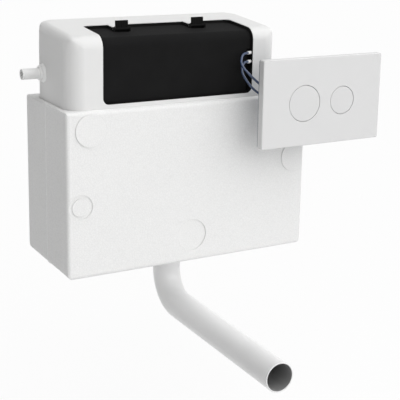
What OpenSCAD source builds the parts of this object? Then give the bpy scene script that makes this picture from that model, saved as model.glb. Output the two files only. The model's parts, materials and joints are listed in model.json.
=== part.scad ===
// Concealed dual flush cistern: a moulded tank in a foam jacket, worked by air from a wall plate.
// The origin is midway between the two wall screw holes, on the wall's face.
// X runs to the right, Y towards the wall and Z up.

/* [Foam jacket] */
// Width of the jacket
jacket_w = 420; // [412:1:440]
// Depth of the jacket, from its front to the wall
jacket_d = 166; // [160:1:176]
// Height of the jacket
jacket_h = 258; // [250:1:270]
// Depth of the jacket's rear half, from the wall to the seam
jacket_seam = 80; // [77:1:84]
// Foam in front of the tank
foam_front = 8; // [6:0.5:10]
// Foam at the tank's sides
foam_side = 8; // [6:0.5:10]
// Foam behind the tank
foam_rear = 16; // [14:0.5:20]
// Foam under the tank
foam_floor = 32; // [31:0.5:36]
// Foam lip over the tank's shoulder
foam_lip = 13; // [8:0.5:18]
// Radius of the jacket's lower corners, seen from the front
jacket_face_r = 12; // [6:0.5:14]
// Radius of the jacket's upper corners, seen from the front
jacket_top_r = 3; // [2:0.5:5]
// Radius of the front's upright edges
jacket_upright_r = 6; // [3:0.5:9]
// Radius of the front's upper and lower edges
jacket_long_r = 7; // [4:0.5:10]
// Width of the lip along the seam
seam_lip_w = 1.8; // [1:0.1:3]
// How far the lip along the seam stands out
seam_lip_h = 0.5; // [0.3:0.1:0.8]
// Diameter of the large mould marks
mark_d = 50; // [40:1:54]
// Diameter of the small mould mark's groove
mark_ring_d = 38; // [34:1:40]
// Width of the small mould mark's groove
mark_groove_w = 5; // [3:0.5:7]
// Depth or height of the mould marks
mark_step = 1.5; // [0.8:0.1:2.5]

/* [Tank] */
// Width of the tank above the jacket
tank_upper_w = 359; // [350:1:370]
// Height of the tank at its rear, from its floor
tank_h = 346; // [340:1:352]
// Slope of the tank's top towards the front, in degrees
top_slope = 4.9; // [3:0.1:6]
// Wall thickness of the tank
tank_wall = 3.5; // [2.5:0.1:4]
// Radius of the tank's upright corners
tank_corner_r = 26; // [20:1:28]
// Radius of the fold from the tank's front to its top
fold_r = 20; // [19:0.5:24]
// Radius of the top's side edges
tank_side_r = 15; // [10:0.5:18]
// Radius of the top's rear edge
tank_rear_r = 8; // [5:0.5:12]
// Radius of the floor's edges
tank_floor_r = 8; // [5:0.5:10]

/* [Access opening] */
// From the tank's left side to the opening
opening_left = 54; // [50:1:58]
// Width of the opening
opening_w = 258; // [250:1:264]
// From the jacket's top up to the opening's sill
opening_sill = 6; // [4:0.5:10]
// From the tank's front to the opening's rear edge
opening_run = 80; // [76:1:86]
// Radius of the opening's lower corners
opening_low_r = 10; // [9:0.5:14]
// Radius of the opening's rear corners
opening_rear_r = 8; // [6:0.5:12]
// Depth of the ledge that the seal sits on
ledge_depth = 11.5; // [11:0.1:13]
// Width of the ledge round the opening
ledge_w = 12; // [11:0.5:14]
// Thickness of the seal
seal_t = 1.2; // [1:0.1:1.5]

/* [Cover and catches] */
// How far the cover's skin lies under the tank's surface
cover_sink = 5; // [4:0.1:6]
// Thickness of the cover's skin
cover_t = 2.5; // [2:0.1:3]
// Thickness of the cover's edge wall
cover_edge_t = 2; // [1.6:0.1:2.5]
// Clearance between the cover and the seal's wall
cover_gap = 0.5; // [0.3:0.1:0.8]
// Width of the cover's notch for the air tube stubs
notch_w = 9; // [8:0.5:10]
// Width of the tank's tongues
tongue_w = 23; // [21:0.5:26]
// Length of the tank's tongues
tongue_len = 22; // [18:0.5:24]
// Middle of the left tongue from the opening's left side
tongue_left = 54; // [45:1:65]
// From the left tongue to the right one
tongue_spacing = 131; // [120:1:140]
// Width of a catch
catch_w = 20.5; // [18:0.5:21.5]
// Height of a catch above the tank's surface
catch_h = 11.5; // [9:0.5:14]
// Thickness of a catch's tab
catch_t = 3; // [2.5:0.1:3.5]
// Diameter of a catch's pin
catch_pin_d = 3; // [2.5:0.1:3.2]

/* [Wall screw holes] */
// Distance between the two wall screw holes
fix_spacing = 200; // [180:1:220]
// Diameter of the wall screw holes
fix_hole_d = 7; // [6:0.1:8]
// Depth of the wall screw holes under the tank's top
fix_drop = 48; // [42:1:52]
// Diameter of the spacers round the wall screw holes
fix_boss_d = 24; // [20:0.5:30]

/* [Fill valve] */
// Diameter of the inlet's thread, G3/8
inlet_d = 16.66; // [16.6:0.01:17]
// Bore of the inlet
inlet_bore = 13; // [11:0.1:13.6]
// From the tank's side to the inlet's open end
inlet_reach = 35; // [30:0.5:40]
// Height of the inlet under the wall screw holes
inlet_drop = 30; // [24:0.5:36]
// From the wall to the inlet
inlet_from_wall = 54; // [50:0.5:60]
// Diameter of the inlet's lock nut at the tank
inlet_nut_d = 30; // [27:0.5:32]
// Thickness of the inlet's lock nut
inlet_nut_t = 4.5; // [4:0.5:7]
// Diameter of the thread that the lock nut runs on
inlet_shank_d = 20.95; // [20:0.05:22]
// Diameter of the fill valve's chamber
chamber_d = 32; // [30:0.5:34]
// Height of the fill valve's chamber
chamber_h = 30; // [26:0.5:34]
// From the tank's side to the chamber's middle
chamber_in = 42; // [39:0.5:44]
// Diameter of the fill tube
fill_tube_d = 13; // [12:0.1:14]
// Length of the fill tube
fill_tube_len = 210; // [180:1:220]
// Length of the lever, from its pin to the float's rod
lever_len = 48; // [45:0.5:52]
// Width of the float
float_w = 44; // [38:0.5:46]
// Depth of the float
float_d = 46; // [40:0.5:50]
// Height of the float
float_h = 55; // [45:0.5:60]

/* [Flush valve] */
// From the wall to the outlet's middle
outlet_from_wall = 81; // [79:0.5:83]
// Outer diameter of the outlet's threaded tail
tail_d = 60; // [58:0.5:62]
// Bore of the tail above the pipe
tail_bore = 42; // [40:0.5:43]
// Diameter of the valve seat
seat_d = 56; // [54:0.5:58]
// Diameter of the valve's cage
cage_d = 75; // [72:0.5:77]
// Height of the valve's cage
cage_h = 138; // [130:1:145]
// Outer diameter of the overflow tube
overflow_d = 28; // [26:0.5:30]
// Height of the overflow's rim above the tank's floor
overflow_h = 208; // [203:1:213]
// Lift of the valve for a full flush
lift_full = 18; // [14:0.5:20]
// Lift of the half flush carrier
lift_half = 12; // [8:0.5:14]
// Diameter of the nuts under the tank
outlet_nut_d = 82; // [78:0.5:84]

/* [Flush pipe] */
// Outer diameter of the flush pipe
pipe_d = 45; // [44:0.1:46]
// Wall of the flush pipe
pipe_wall = 2; // [1.6:0.1:2.5]
// Radius of the bend at the pipe's middle
pipe_bend_r = 50; // [46:1:60]
// Height of the pipe's run under the jacket's base
pipe_drop = 87; // [80:1:100]
// From the outlet's middle to the pipe's open end
pipe_reach = 349; // [300:1:360]

/* [Air tubes] */
// Diameter of an air tube
air_tube_d = 3.8; // [3.4:0.1:3.9]
// Outer diameter of a stub
stub_d = 5.4; // [5:0.1:5.6]
// Length of a stub outside its wall
stub_out = 10; // [9:0.5:10.5]
// Length of a stub behind its wall
stub_in = 12; // [10:0.5:14]
// Angle between the stubs and the tank's front, in degrees
stub_angle = 25; // [24:0.5:26]
// Depth of the stubs where they leave the opening's side
stub_depth = 5.5; // [5.3:0.1:5.7]
// Height of the upper stub under the wall screw holes
stub_upper_drop = 2; // [1:0.5:3]
// Height of the lower stub under the wall screw holes
stub_lower_drop = 16; // [15:0.5:17]

/* [Flush plate] */
// Width of the plate
plate_w = 225; // [215:1:240]
// Height of the plate
plate_h = 140; // [130:1:150]
// Thickness of the plate
plate_t = 12; // [11:0.5:14]
// Wall of the plate
plate_wall = 3; // [2.5:0.1:3.5]
// Radius of the plate's face edges
plate_edge_r = 1.5; // [1:0.1:2]
// Radius of the plate's corners
plate_corner_r = 3; // [2:0.5:8]
// Thickness of the frame behind the plate
frame_t = 3; // [2.5:0.1:4]
// Space from the jacket's front to the plate's face
plate_gap = 60; // [58:0.5:64]
// Middle of the plate to the right of the wall screw holes' middle
plate_x = 200.5; // [195:0.5:206]
// Middle of the plate under the wall screw holes
plate_drop = 74; // [71:0.5:77]
// Diameter of the large button
button_full_d = 57; // [54:0.5:60]
// Diameter of the small button
button_half_d = 44.5; // [42:0.5:46]
// From the large button to the small one
button_spacing = 72; // [68:0.5:76]
// Middle of the large button left of the plate's middle
button_left = 34.5; // [32:0.5:37]
// Middle of the buttons above the plate's middle
button_rise = -2; // [-4:0.5:2]
// Thickness of a button
button_t = 3.5; // [3:0.1:4]
// Gap round a button
button_gap = 0.7; // [0.5:0.1:1]
// Travel of a button
button_travel = 6; // [4:0.5:6.5]
// Outer diameter of the large pump cup
cup_full_d = 46; // [44:0.5:47]
// Outer diameter of the small pump cup
cup_half_d = 36; // [34:0.5:37]
// Depth of the pump cups behind the frame
cup_depth = 23; // [21:0.5:25]
// Width between the frame's fixing holes
frame_hole_w = 194; // [180:1:200]
// Height between the frame's fixing holes
frame_hole_h = 108; // [100:1:112]
// Diameter of the frame's fixing holes
frame_hole_d = 4.5; // [4:0.1:5]

/* [Hidden] */
$fn = 64;

// Clearances shared by pieces that meet
seat_gap = 0.3;
pin_gap = 0.05;
slide_gap = 0.3;
press_gap = 0.1;
foam_gap = 0.4;
thread_gap = 0.1;
past = 1;
far = 400;
arc_step = 7.5;

// Places that many pieces share
tank_top_z = fix_drop;
tank_floor_z = tank_top_z - tank_h;
base_z = tank_floor_z - foam_floor;
jacket_top_z = base_z + jacket_h;
front_y = -jacket_d;
tank_left_x = -jacket_w / 2 + foam_side;
tank_right_x = jacket_w / 2 - foam_side;
tank_upper_right_x = tank_left_x + tank_upper_w;
tank_front_y = front_y + foam_front;
tank_rear_y = -foam_rear;
shoulder_z = jacket_top_z - foam_lip;
floor_in_z = tank_floor_z + tank_wall;
open_x0 = tank_left_x + opening_left;
open_x1 = open_x0 + opening_w;
open_z0 = jacket_top_z + opening_sill;
open_rear_y = tank_front_y + opening_run;
fold_y = tank_front_y + fold_r;
fold_z = tank_top_z - (fold_r + (tank_rear_y - fold_y) * sin(top_slope)) / cos(top_slope);

// Height of the tank's sloping top at y, or of the surface that lies a depth inside it
function top_z(y, depth = 0) =
    fold_z + (fold_r - depth + (y - fold_y) * sin(top_slope)) / cos(top_slope);

function arc(c, r, a0, a1) =
    let (n = ceil(abs(a1 - a0) / arc_step))
    [for (i = [0 : n]) c + r * [cos(a0 + (a1 - a0) * i / n), sin(a0 + (a1 - a0) * i / n)]];

// Side view of the tank, seen along X, a depth inside its surface
function side_outline(depth, low_z, rear_r) =
    let (y1 = tank_rear_y - depth, rear_c = [y1 - rear_r, top_z(y1 - rear_r, depth + rear_r)])
    concat(
        [[tank_front_y + depth, low_z]],
        arc([fold_y, fold_z], fold_r - depth, 180, 90 + top_slope),
        arc(rear_c, rear_r, 90 + top_slope, 0),
        [[y1, low_z]]
    );

// Extrudes an outline drawn in Y and Z along X
module along_x(x0, x1) {
    translate([x0, 0, 0]) rotate([90, 0, 90]) linear_extrude(x1 - x0) children();
}

// Extrudes an outline drawn in X and Z along Y
module along_y(y0, y1) {
    translate([0, y1, 0]) rotate([90, 0, 0]) linear_extrude(y1 - y0) children();
}

// Extrudes an outline drawn in X and Y along Z
module along_z(z0, z1) {
    translate([0, 0, z0]) linear_extrude(z1 - z0) children();
}

module rod_x(x0, x1, r) {
    translate([x0, 0, 0]) rotate([0, 90, 0]) cylinder(h = x1 - x0, r = r);
}

module rod_y(y0, y1, r) {
    translate([0, y0, 0]) rotate([-90, 0, 0]) cylinder(h = y1 - y0, r = r);
}

module rod_z(z0, z1, r) {
    translate([0, 0, z0]) cylinder(h = z1 - z0, r = r);
}

module ring_z(z0, z1, r_out, r_in) {
    difference() {
        rod_z(z0, z1, r_out);
        rod_z(z0 - past, z1 + past, r_in);
    }
}

module ring_y(y0, y1, r_out, r_in) {
    difference() {
        rod_y(y0, y1, r_out);
        rod_y(y0 - past, y1 + past, r_in);
    }
}

module block(x0, x1, y0, y1, z0, z1) {
    translate([x0, y0, z0]) cube([x1 - x0, y1 - y0, z1 - z0]);
}

// Rectangle with true round corners
module round_rect(x0, x1, y0, y1, r) {
    translate([x0 + r, y0]) square([x1 - x0 - 2 * r, y1 - y0]);
    translate([x0, y0 + r]) square([x1 - x0, y1 - y0 - 2 * r]);
    for (x = [x0 + r, x1 - r], y = [y0 + r, y1 - r]) translate([x, y]) circle(r = r);
}

// Block with its own radius on the face corners, the upright edges and the long edges
module soft_block(x0, x1, y0, y1, z0, z1, face_r, upright_r, long_r) {
    intersection() {
        along_y(y0, y1) round_rect(x0, x1, z0, z1, face_r);
        along_z(z0, z1) round_rect(x0, x1, y0, y1, upright_r);
        along_x(x0, x1) round_rect(y0, y1, z0, z1, long_r);
    }
}

// Everything under the tank's surface, or under the surface a depth inside it
module under_surface(depth, x0, x1, low_z, rear_r) {
    along_x(x0, x1) polygon(side_outline(depth, low_z, rear_r));
}

// The opening's outline as an upright and a level shaft, drawn in from its edge
sharp_r = 2;

module opening_shaft(inset, with_tongues, with_notch) {
    difference() {
        intersection() {
            along_y(front_y - far, open_rear_y + far)
                round_rect(open_x0 + inset, open_x1 - inset, open_z0 + inset, far, max(opening_low_r - inset, sharp_r));
            along_z(open_z0 - far, far)
                round_rect(open_x0 + inset, open_x1 - inset, front_y - far, open_rear_y - inset,
                    max(opening_rear_r - inset, sharp_r));
        }
        if (with_tongues) {
            for (x = tongue_xs)
                block(x - tongue_w / 2 - inset, x + tongue_w / 2 + inset, tongue_front_y - inset,
                    open_rear_y + past, open_z0, far - past);
        }
        if (with_notch) {
            block(open_x1 - notch_w - inset + cover_inset, open_x1, front_y - far + past, open_rear_y,
                open_z0 - past, notch_top_z + inset - cover_inset);
        }
    }
}

tongue_xs = [open_x0 + tongue_left, open_x0 + tongue_left + tongue_spacing];
tongue_front_y = open_rear_y - tongue_len;
cover_inset = press_gap + seal_t + cover_gap;
cover_depth = ledge_depth - press_gap - seal_t - seat_gap;
notch_above_stub = 6;
notch_top_z = -stub_upper_drop + notch_above_stub;

color_foam = [0.93, 0.93, 0.92];
color_tank = [0.9, 0.9, 0.89];
color_black = [0.12, 0.12, 0.12];
color_rubber = [0.06, 0.06, 0.06];
color_blue = [0.16, 0.22, 0.36];
color_white = [0.92, 0.92, 0.92];
color_grey = [0.62, 0.64, 0.66];
color_green = [0.35, 0.62, 0.5];

/* Foam jacket */

// Mould marks on the front: x of the middle, and z of the middle from the base
mark_top_left = [-171, base_z + 229];
mark_low_left = [-188, base_z + 113];
mark_low_mid = [1, base_z + 44];
mark_right = [190, base_z + 153];

// The jacket's outside: round at the front, square at the wall, grown by a lip's height
module jacket_block(grow) {
    x1 = jacket_w / 2 + grow;
    z0 = base_z - grow;
    z1 = jacket_top_z + grow;
    intersection() {
        along_y(front_y - grow, 0) round_rect(-x1, x1, z0, far, jacket_face_r);
        along_y(front_y - grow, 0) round_rect(-x1, x1, -far - far, z1, jacket_top_r);
        along_z(z0, z1) round_rect(-x1, x1, front_y - grow, far, jacket_upright_r);
        along_x(-x1, x1) round_rect(front_y - grow, far, z0, z1, jacket_long_r);
    }
}

module jacket_shape() {
    jacket_block(0);
    intersection() {
        for (m = [mark_top_left, mark_right])
            translate([m[0], 0, m[1]]) rod_y(front_y - mark_step, front_y + past, mark_d / 2);
        block(-jacket_w / 2 + jacket_upright_r, jacket_w / 2 - jacket_upright_r, front_y - far, 0,
            base_z, jacket_top_z - jacket_long_r + 3);
    }
}

module jacket_hollow() {
    along_z(tank_floor_z, shoulder_z + foam_gap)
        round_rect(tank_left_x - foam_gap, tank_right_x + foam_gap,
            tank_front_y - foam_gap, tank_rear_y + foam_gap, tank_corner_r);
    along_z(shoulder_z, jacket_top_z + seam_lip_h + past)
        round_rect(tank_left_x - foam_gap, tank_upper_right_x + foam_gap,
            tank_front_y - foam_gap, tank_rear_y + foam_gap, tank_corner_r);
    translate([0, -outlet_from_wall, 0])
        rod_z(base_z - past, tank_floor_z + past, outlet_nut_d / 2 + jacket_nut_room);
    translate([mark_low_mid[0], 0, mark_low_mid[1]])
        rod_y(front_y - past, front_y + mark_step, mark_d / 2);
    translate([mark_low_left[0], 0, mark_low_left[1]])
        ring_y(front_y - past, front_y + mark_step, mark_ring_d / 2, mark_ring_d / 2 - mark_groove_w);
}

jacket_nut_room = 3;

module foam_jacket_front() {
    color(color_foam)
    difference() {
        union() {
            jacket_shape();
            intersection() {
                jacket_block(seam_lip_h);
                block(-jacket_w, jacket_w, -jacket_seam - seam_lip_w, 0, base_z - past, far);
            }
        }
        jacket_hollow();
        block(-jacket_w, jacket_w, -jacket_seam, past, base_z - past, far);
    }
}

module foam_jacket_rear() {
    color(color_foam)
    difference() {
        jacket_shape();
        jacket_hollow();
        block(-jacket_w, jacket_w, front_y - far, -jacket_seam, base_z - past, jacket_top_z + past);
    }
}

/* Tank */

// The tank's outside, or its inside a depth under the surface
module tank_form(depth) {
    corner_r = tank_corner_r - depth;
    low_z = tank_floor_z + depth;
    intersection() {
        under_surface(depth, tank_left_x + depth, tank_upper_right_x - depth, low_z, tank_rear_r);
        along_z(low_z - past, far)
            round_rect(tank_left_x + depth, tank_upper_right_x - depth,
                tank_front_y + depth, tank_rear_y - depth, corner_r);
        translate([0, tank_rear_y, tank_top_z]) rotate([top_slope, 0, 0])
            along_y(-far, far)
                round_rect(tank_left_x + depth, tank_upper_right_x - depth, -far - tank_h, -depth,
                    tank_side_r - depth);
    }
    intersection() {
        along_z(low_z, shoulder_z - depth)
            round_rect(tank_left_x + depth, tank_right_x - depth,
                tank_front_y + depth, tank_rear_y - depth, corner_r);
        along_x(tank_left_x, tank_right_x)
            round_rect(tank_front_y + depth, tank_rear_y - depth, low_z, far, tank_floor_r - depth);
    }
}

module wall_bosses() {
    for (x = [-fix_spacing / 2, fix_spacing / 2])
        translate([x, 0, 0]) rod_y(tank_rear_y - tank_wall / 2, 0, fix_boss_d / 2);
}

module wall_holes() {
    for (x = [-fix_spacing / 2, fix_spacing / 2])
        translate([x, 0, 0]) rod_y(tank_rear_y - tank_wall - past, past, fix_hole_d / 2);
}

module ledge_form() {
    difference() {
        intersection() {
            under_surface(0, open_x0 - tank_wall, open_x1 + tank_wall, open_z0 - tank_wall, tank_rear_r);
            opening_shaft(-tank_wall, false, false);
        }
        under_surface(ledge_depth + tank_wall, open_x0 - far, open_x1 + far, open_z0 - far, tank_rear_r);
    }
}

module tank_body() {
    color(color_tank)
    difference() {
        union() {
            difference() {
                tank_form(0);
                tank_form(tank_wall);
            }
            ledge_form();
            wall_bosses();
        }
        difference() {
            opening_shaft(0, true, false);
            under_surface(ledge_depth, open_x0 - past, open_x1 + past, open_z0 - far, tank_rear_r);
        }
        opening_shaft(ledge_w, true, false);
        wall_holes();
        translate([0, -inlet_from_wall, -inlet_drop])
            rod_x(tank_left_x - past, tank_left_x + tank_wall + past, inlet_shank_d / 2 + hole_gap);
        translate([0, -outlet_from_wall, 0])
            rod_z(tank_floor_z - past, floor_in_z + past, tail_d / 2 + hole_gap);
        for (z = [-stub_upper_drop, -stub_lower_drop])
            stub_place(z) rod_x(-stub_in, stub_out, stub_d / 2 + press_gap);
    }
}

hole_gap = 0.4;

/* Access opening */

module cover_seal() {
    color(color_rubber)
    difference() {
        intersection() {
            under_surface(seal_lip, open_x0, open_x1, open_z0, tank_rear_r);
            opening_shaft(press_gap, true, false);
        }
        difference() {
            opening_shaft(press_gap + seal_t, true, false);
            under_surface(ledge_depth - press_gap - seal_t, open_x0, open_x1, open_z0 - far, tank_rear_r);
        }
        opening_shaft(ledge_w - seal_back, true, false);
        under_surface(ledge_depth - press_gap, open_x0 - past, open_x1 + past, open_z0 - far, tank_rear_r);
        for (z = [-stub_upper_drop, -stub_lower_drop])
            stub_place(z) rod_x(-stub_in, stub_out, stub_d / 2 + slide_gap);
        for (x = tongue_xs)
            catch_place(x)
                block(-catch_w / 2 - catch_side_gap, catch_w / 2 + catch_side_gap, 0, catch_pin_ahead,
                    -catch_seal_drop, far);
    }
}

// How far the seal's lip lies under the surface, and its base behind the ledge's edge
seal_lip = 0.8;
seal_back = 0.5;

module access_cover() {
    color(color_black)
    difference() {
        union() {
            difference() {
                intersection() {
                    under_surface(cover_sink, open_x0, open_x1, open_z0, tank_rear_r);
                    opening_shaft(cover_inset, true, true);
                }
                difference() {
                    opening_shaft(cover_inset + cover_edge_t, true, true);
                    difference() {
                        under_surface(0, open_x0, open_x1, open_z0, tank_rear_r);
                        under_surface(cover_sink + cover_t, open_x0 - past, open_x1 + past,
                            open_z0 - far, tank_rear_r);
                    }
                }
                under_surface(cover_depth, open_x0 - past, open_x1 + past, open_z0 - far, tank_rear_r);
            }
            for (x = tongue_xs) {
                catch_lugs(x);
                pocket_wall(x);
            }
        }
        for (x = tongue_xs) {
            pocket_room(x);
            catch_place(x) rod_x(-far / 10, far / 10, catch_pin_d / 2 + pin_gap);
        }
    }
}

// A catch stands in a pocket of the cover. Its pin runs along X through this place
catch_pin_ahead = 5;
catch_barrel_r = 2.4;
catch_barrel_over = 1.7;
catch_raise = 4;
catch_side_gap = 0.3;
catch_seal_drop = 0.4;
pocket_floor_t = 2;
pocket_ahead = 6;
pocket_chamfer = 3;
pocket_half_w = catch_w / 2 + catch_barrel_over + catch_side_gap;
pocket_depth = cover_depth - pocket_floor_t;
lug_t = 2;
lug_r = 2.9;
catch_y = tongue_front_y - catch_pin_ahead;
catch_z = top_z(catch_y, pocket_depth) + catch_barrel_r + seat_gap + catch_raise;

module catch_place(x) {
    translate([x, catch_y, catch_z]) children();
}

module catch_lugs(x) {
    foot_z = -catch_barrel_r - seat_gap - catch_raise - pocket_floor_t / 2;
    catch_place(x)
        for (side = [-1, 1])
            translate([side * (pocket_half_w + lug_t / 2), 0, 0]) {
                rod_x(-lug_t / 2, lug_t / 2, lug_r);
                block(-lug_t / 2, lug_t / 2, -lug_r, lug_r, foot_z, 0);
            }
}

// The cover's whole depth round a pocket
module pocket_wall(x) {
    difference() {
        intersection() {
            under_surface(cover_sink, open_x0, open_x1, open_z0, tank_rear_r);
            block(x - pocket_half_w - lug_t, x + pocket_half_w + lug_t,
                catch_y - pocket_ahead - lug_t, tongue_front_y - cover_inset, open_z0, far);
        }
        under_surface(cover_depth, open_x0 - past, open_x1 + past, open_z0 - far, tank_rear_r);
    }
}

module pocket_room(x) {
    w = pocket_half_w;
    y0 = catch_y - pocket_ahead;
    difference() {
        translate([x, 0, 0]) along_z(open_z0, far)
            polygon([[-w, tongue_front_y], [-w, y0 + pocket_chamfer], [-w + pocket_chamfer, y0],
                [w - pocket_chamfer, y0], [w, y0 + pocket_chamfer], [w, tongue_front_y]]);
        under_surface(pocket_depth, open_x0 - past, open_x1 + past, open_z0 - far, tank_rear_r);
    }
}

module catch_pins() {
    pin_half = pocket_half_w + lug_t;
    color(color_grey)
    for (x = tongue_xs) catch_place(x) rod_x(-pin_half, pin_half, catch_pin_d / 2);
}

// A catch: barrel on the pin, upright ribbed tab, and the nose that grips the tongue's front
catch_ribs = 5;
catch_rib_w = 1.6;
catch_rib_t = 0.6;
catch_nose_r = 1.2;
catch_nose_rise = 2;

module catch(x) {
    top = top_z(catch_y) + catch_h - catch_z;
    rear = tongue_front_y - catch_y - seat_gap;
    pitch = catch_w / catch_ribs;
    barrel_half = catch_w / 2 + catch_barrel_over;
    color(color_black)
    catch_place(x)
    difference() {
        union() {
            rod_x(-barrel_half, barrel_half, catch_barrel_r);
            block(-catch_w / 2, catch_w / 2, -catch_t / 2, catch_t / 2, 0, top);
            for (i = [0 : catch_ribs - 1])
                translate([(i - (catch_ribs - 1) / 2) * pitch, -catch_t / 2, 0])
                    block(-catch_rib_w / 2, catch_rib_w / 2, -catch_rib_t, past / 2, catch_barrel_r, top - catch_rib_w);
            translate([0, rear - catch_nose_r, catch_nose_rise])
                rod_x(-catch_w / 2, catch_w / 2, catch_nose_r);
            block(-catch_w / 2, catch_w / 2, 0, rear - catch_nose_r,
                catch_nose_rise - catch_nose_r, catch_nose_rise + catch_nose_r);
        }
        rod_x(-barrel_half - past, barrel_half + past, catch_pin_d / 2 + pin_gap);
    }
}

module cover_catch_left() { catch(tongue_xs[0]); }
module cover_catch_right() { catch(tongue_xs[1]); }

/* Air tube stubs and air tubes */

// A stub runs along its own X: outwards is towards the viewer and the left
module stub_place(z) {
    translate([open_x1, tank_front_y + stub_depth, z]) rotate([0, 0, 180 + stub_angle]) children();
}

stub_bore = 2.4;
stub_barb = 0.5;
stub_barb_len = 3;

module stub(z) {
    color(color_white)
    stub_place(z)
    difference() {
        union() {
            rod_x(-stub_in, stub_out, stub_d / 2);
            translate([-stub_in, 0, 0]) rotate([0, 90, 0])
                cylinder(h = stub_barb_len, r1 = stub_d / 2, r2 = stub_d / 2 + stub_barb);
        }
        rod_x(-stub_in - past, stub_out + past, stub_bore / 2);
    }
}

module tube_stub_upper() { stub(-stub_upper_drop); }
module tube_stub_lower() { stub(-stub_lower_drop); }

function stub_point(z, out) =
    [open_x1 - out * cos(stub_angle), tank_front_y + stub_depth - out * sin(stub_angle), z];

// Routes of the two air tubes, between the straight ends at the stub and at the pump cup
route_full = [
    [89, -161.5, -4.5], [84.5, -165.5, -9.5], [82, -170, -15.5], [83, -175.5, -22],
    [87, -182, -29], [92.5, -187, -36], [99.5, -190.5, -43], [107, -192.5, -50],
    [113, -194, -58], [118, -194.5, -66.5]
];
route_half = [
    [89.5, -162, -20], [86, -165, -25.5], [85, -169.5, -32], [87.5, -174.5, -40],
    [92, -179.5, -48.5], [98, -184, -56], [106, -187, -62.5], [115, -187.5, -68.5],
    [125, -186, -73], [136, -184, -76.5], [148, -183.5, -79], [160, -183.5, -80.5],
    [172, -183.5, -81], [184, -183.5, -80.5], [193, -186.5, -79], [200, -191, -77.5]
];
tube_straight = [4, 8];

function unit(v) = v / norm(v);
function tangent(p, i) = unit(p[min(i + 1, len(p) - 1)] - p[max(i - 1, 0)]);

function tube_ring(p, i, r, sides) =
    let (t = tangent(p, i), side = unit(cross(t, [0, 1, 0])), up = cross(side, t))
    [for (k = [0 : sides - 1]) p[i] + r * (cos(360 * k / sides) * side + sin(360 * k / sides) * up)];

module swept_tube(p, r, sides) {
    n = len(p);
    points = [for (i = [0 : n - 1]) each tube_ring(p, i, r, sides)];
    walls = [for (i = [0 : n - 2], k = [0 : sides - 1], half = [0, 1])
        let (a = i * sides + k, b = i * sides + (k + 1) % sides)
        half == 0 ? [a, b, b + sides] : [a, b + sides, a + sides]];
    start = [for (k = [1 : sides - 2]) [0, k + 1, k]];
    end = [for (k = [1 : sides - 2]) [(n - 1) * sides, (n - 1) * sides + k, (n - 1) * sides + k + 1]];
    polyhedron(points = points, faces = concat(walls, start, end));
}

tube_sides = 8;

module air_tube(route, z, cup_x, cup_d) {
    tip = spigot_tip(cup_x, cup_d);
    start = [for (t = concat([0], tube_straight)) stub_point(z, stub_out + t)];
    end = [tip - [tube_straight[0], 0, 0], tip];
    color(color_blue)
    swept_tube(concat(start, route, end), air_tube_d / 2, tube_sides);
}

module air_tube_full() { air_tube(route_full, -stub_upper_drop, button_full_x, cup_full_d); }
module air_tube_half() { air_tube(route_half, -stub_lower_drop, button_half_x, cup_half_d); }

/* Flush plate */

plate_y = front_y - plate_gap;
plate_back_y = plate_y + plate_t;
frame_back_y = plate_back_y + frame_t;
plate_z = -plate_drop;
plate_x0 = plate_x - plate_w / 2;
plate_x1 = plate_x + plate_w / 2;
plate_z0 = plate_z - plate_h / 2;
plate_z1 = plate_z + plate_h / 2;
button_full_x = plate_x - button_left;
button_half_x = button_full_x + button_spacing;
button_z = plate_z + button_rise;
sleeve_t = 1.5;
sleeve_len = 4.5;
cup_back_y = frame_back_y + cup_depth;
cup_wall = 2;
cup_flange = 4;
cup_flange_t = 1.5;
spigot_len = 9;
spigot_ahead = 6;
skirt_len = 14;
frame_inset = 1;

function spigot_tip(cup_x, cup_d) =
    [cup_x - cup_d / 2 - spigot_len, cup_back_y - spigot_ahead, button_z];

module at_button(x) {
    translate([x, 0, button_z]) children();
}

module flush_plate() {
    color(color_white)
    difference() {
        union() {
            difference() {
                soft_block(plate_x0, plate_x1, plate_y, plate_back_y + far / 10, plate_z0, plate_z1,
                    plate_corner_r, plate_edge_r, plate_edge_r);
                block(plate_x0 + plate_wall, plate_x1 - plate_wall, plate_y + plate_wall,
                    plate_back_y + far, plate_z0 + plate_wall, plate_z1 - plate_wall);
                block(plate_x0 - past, plate_x1 + past, plate_back_y, plate_back_y + far,
                    plate_z0 - past, plate_z1 + past);
            }
            at_button(button_full_x)
                rod_y(plate_y + plate_wall / 2, plate_y + plate_wall + sleeve_len,
                    button_full_d / 2 + button_gap + sleeve_t);
            at_button(button_half_x)
                rod_y(plate_y + plate_wall / 2, plate_y + plate_wall + sleeve_len,
                    button_half_d / 2 + button_gap + sleeve_t);
        }
        at_button(button_full_x) rod_y(plate_y - past, plate_back_y, button_full_d / 2 + button_gap);
        at_button(button_half_x) rod_y(plate_y - past, plate_back_y, button_half_d / 2 + button_gap);
    }
}

module plate_frame() {
    hole_x = frame_hole_w / 2;
    hole_z = frame_hole_h / 2;
    color(color_grey)
    difference() {
        along_y(plate_back_y, frame_back_y)
            round_rect(plate_x0 + frame_inset, plate_x1 - frame_inset,
                plate_z0 + frame_inset, plate_z1 - frame_inset, plate_corner_r);
        at_button(button_full_x) rod_y(plate_back_y - past, frame_back_y + past, cup_full_d / 2 + press_gap);
        at_button(button_half_x) rod_y(plate_back_y - past, frame_back_y + past, cup_half_d / 2 + press_gap);
        for (x = [plate_x - hole_x, plate_x + hole_x], z = [plate_z - hole_z, plate_z + hole_z])
            translate([x, 0, z]) rod_y(plate_back_y - past, frame_back_y + past, frame_hole_d / 2);
    }
}

// A button: a disc with a chamfered rim and a skirt that slides inside the pump cup
button_chamfer = 0.5;

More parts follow.
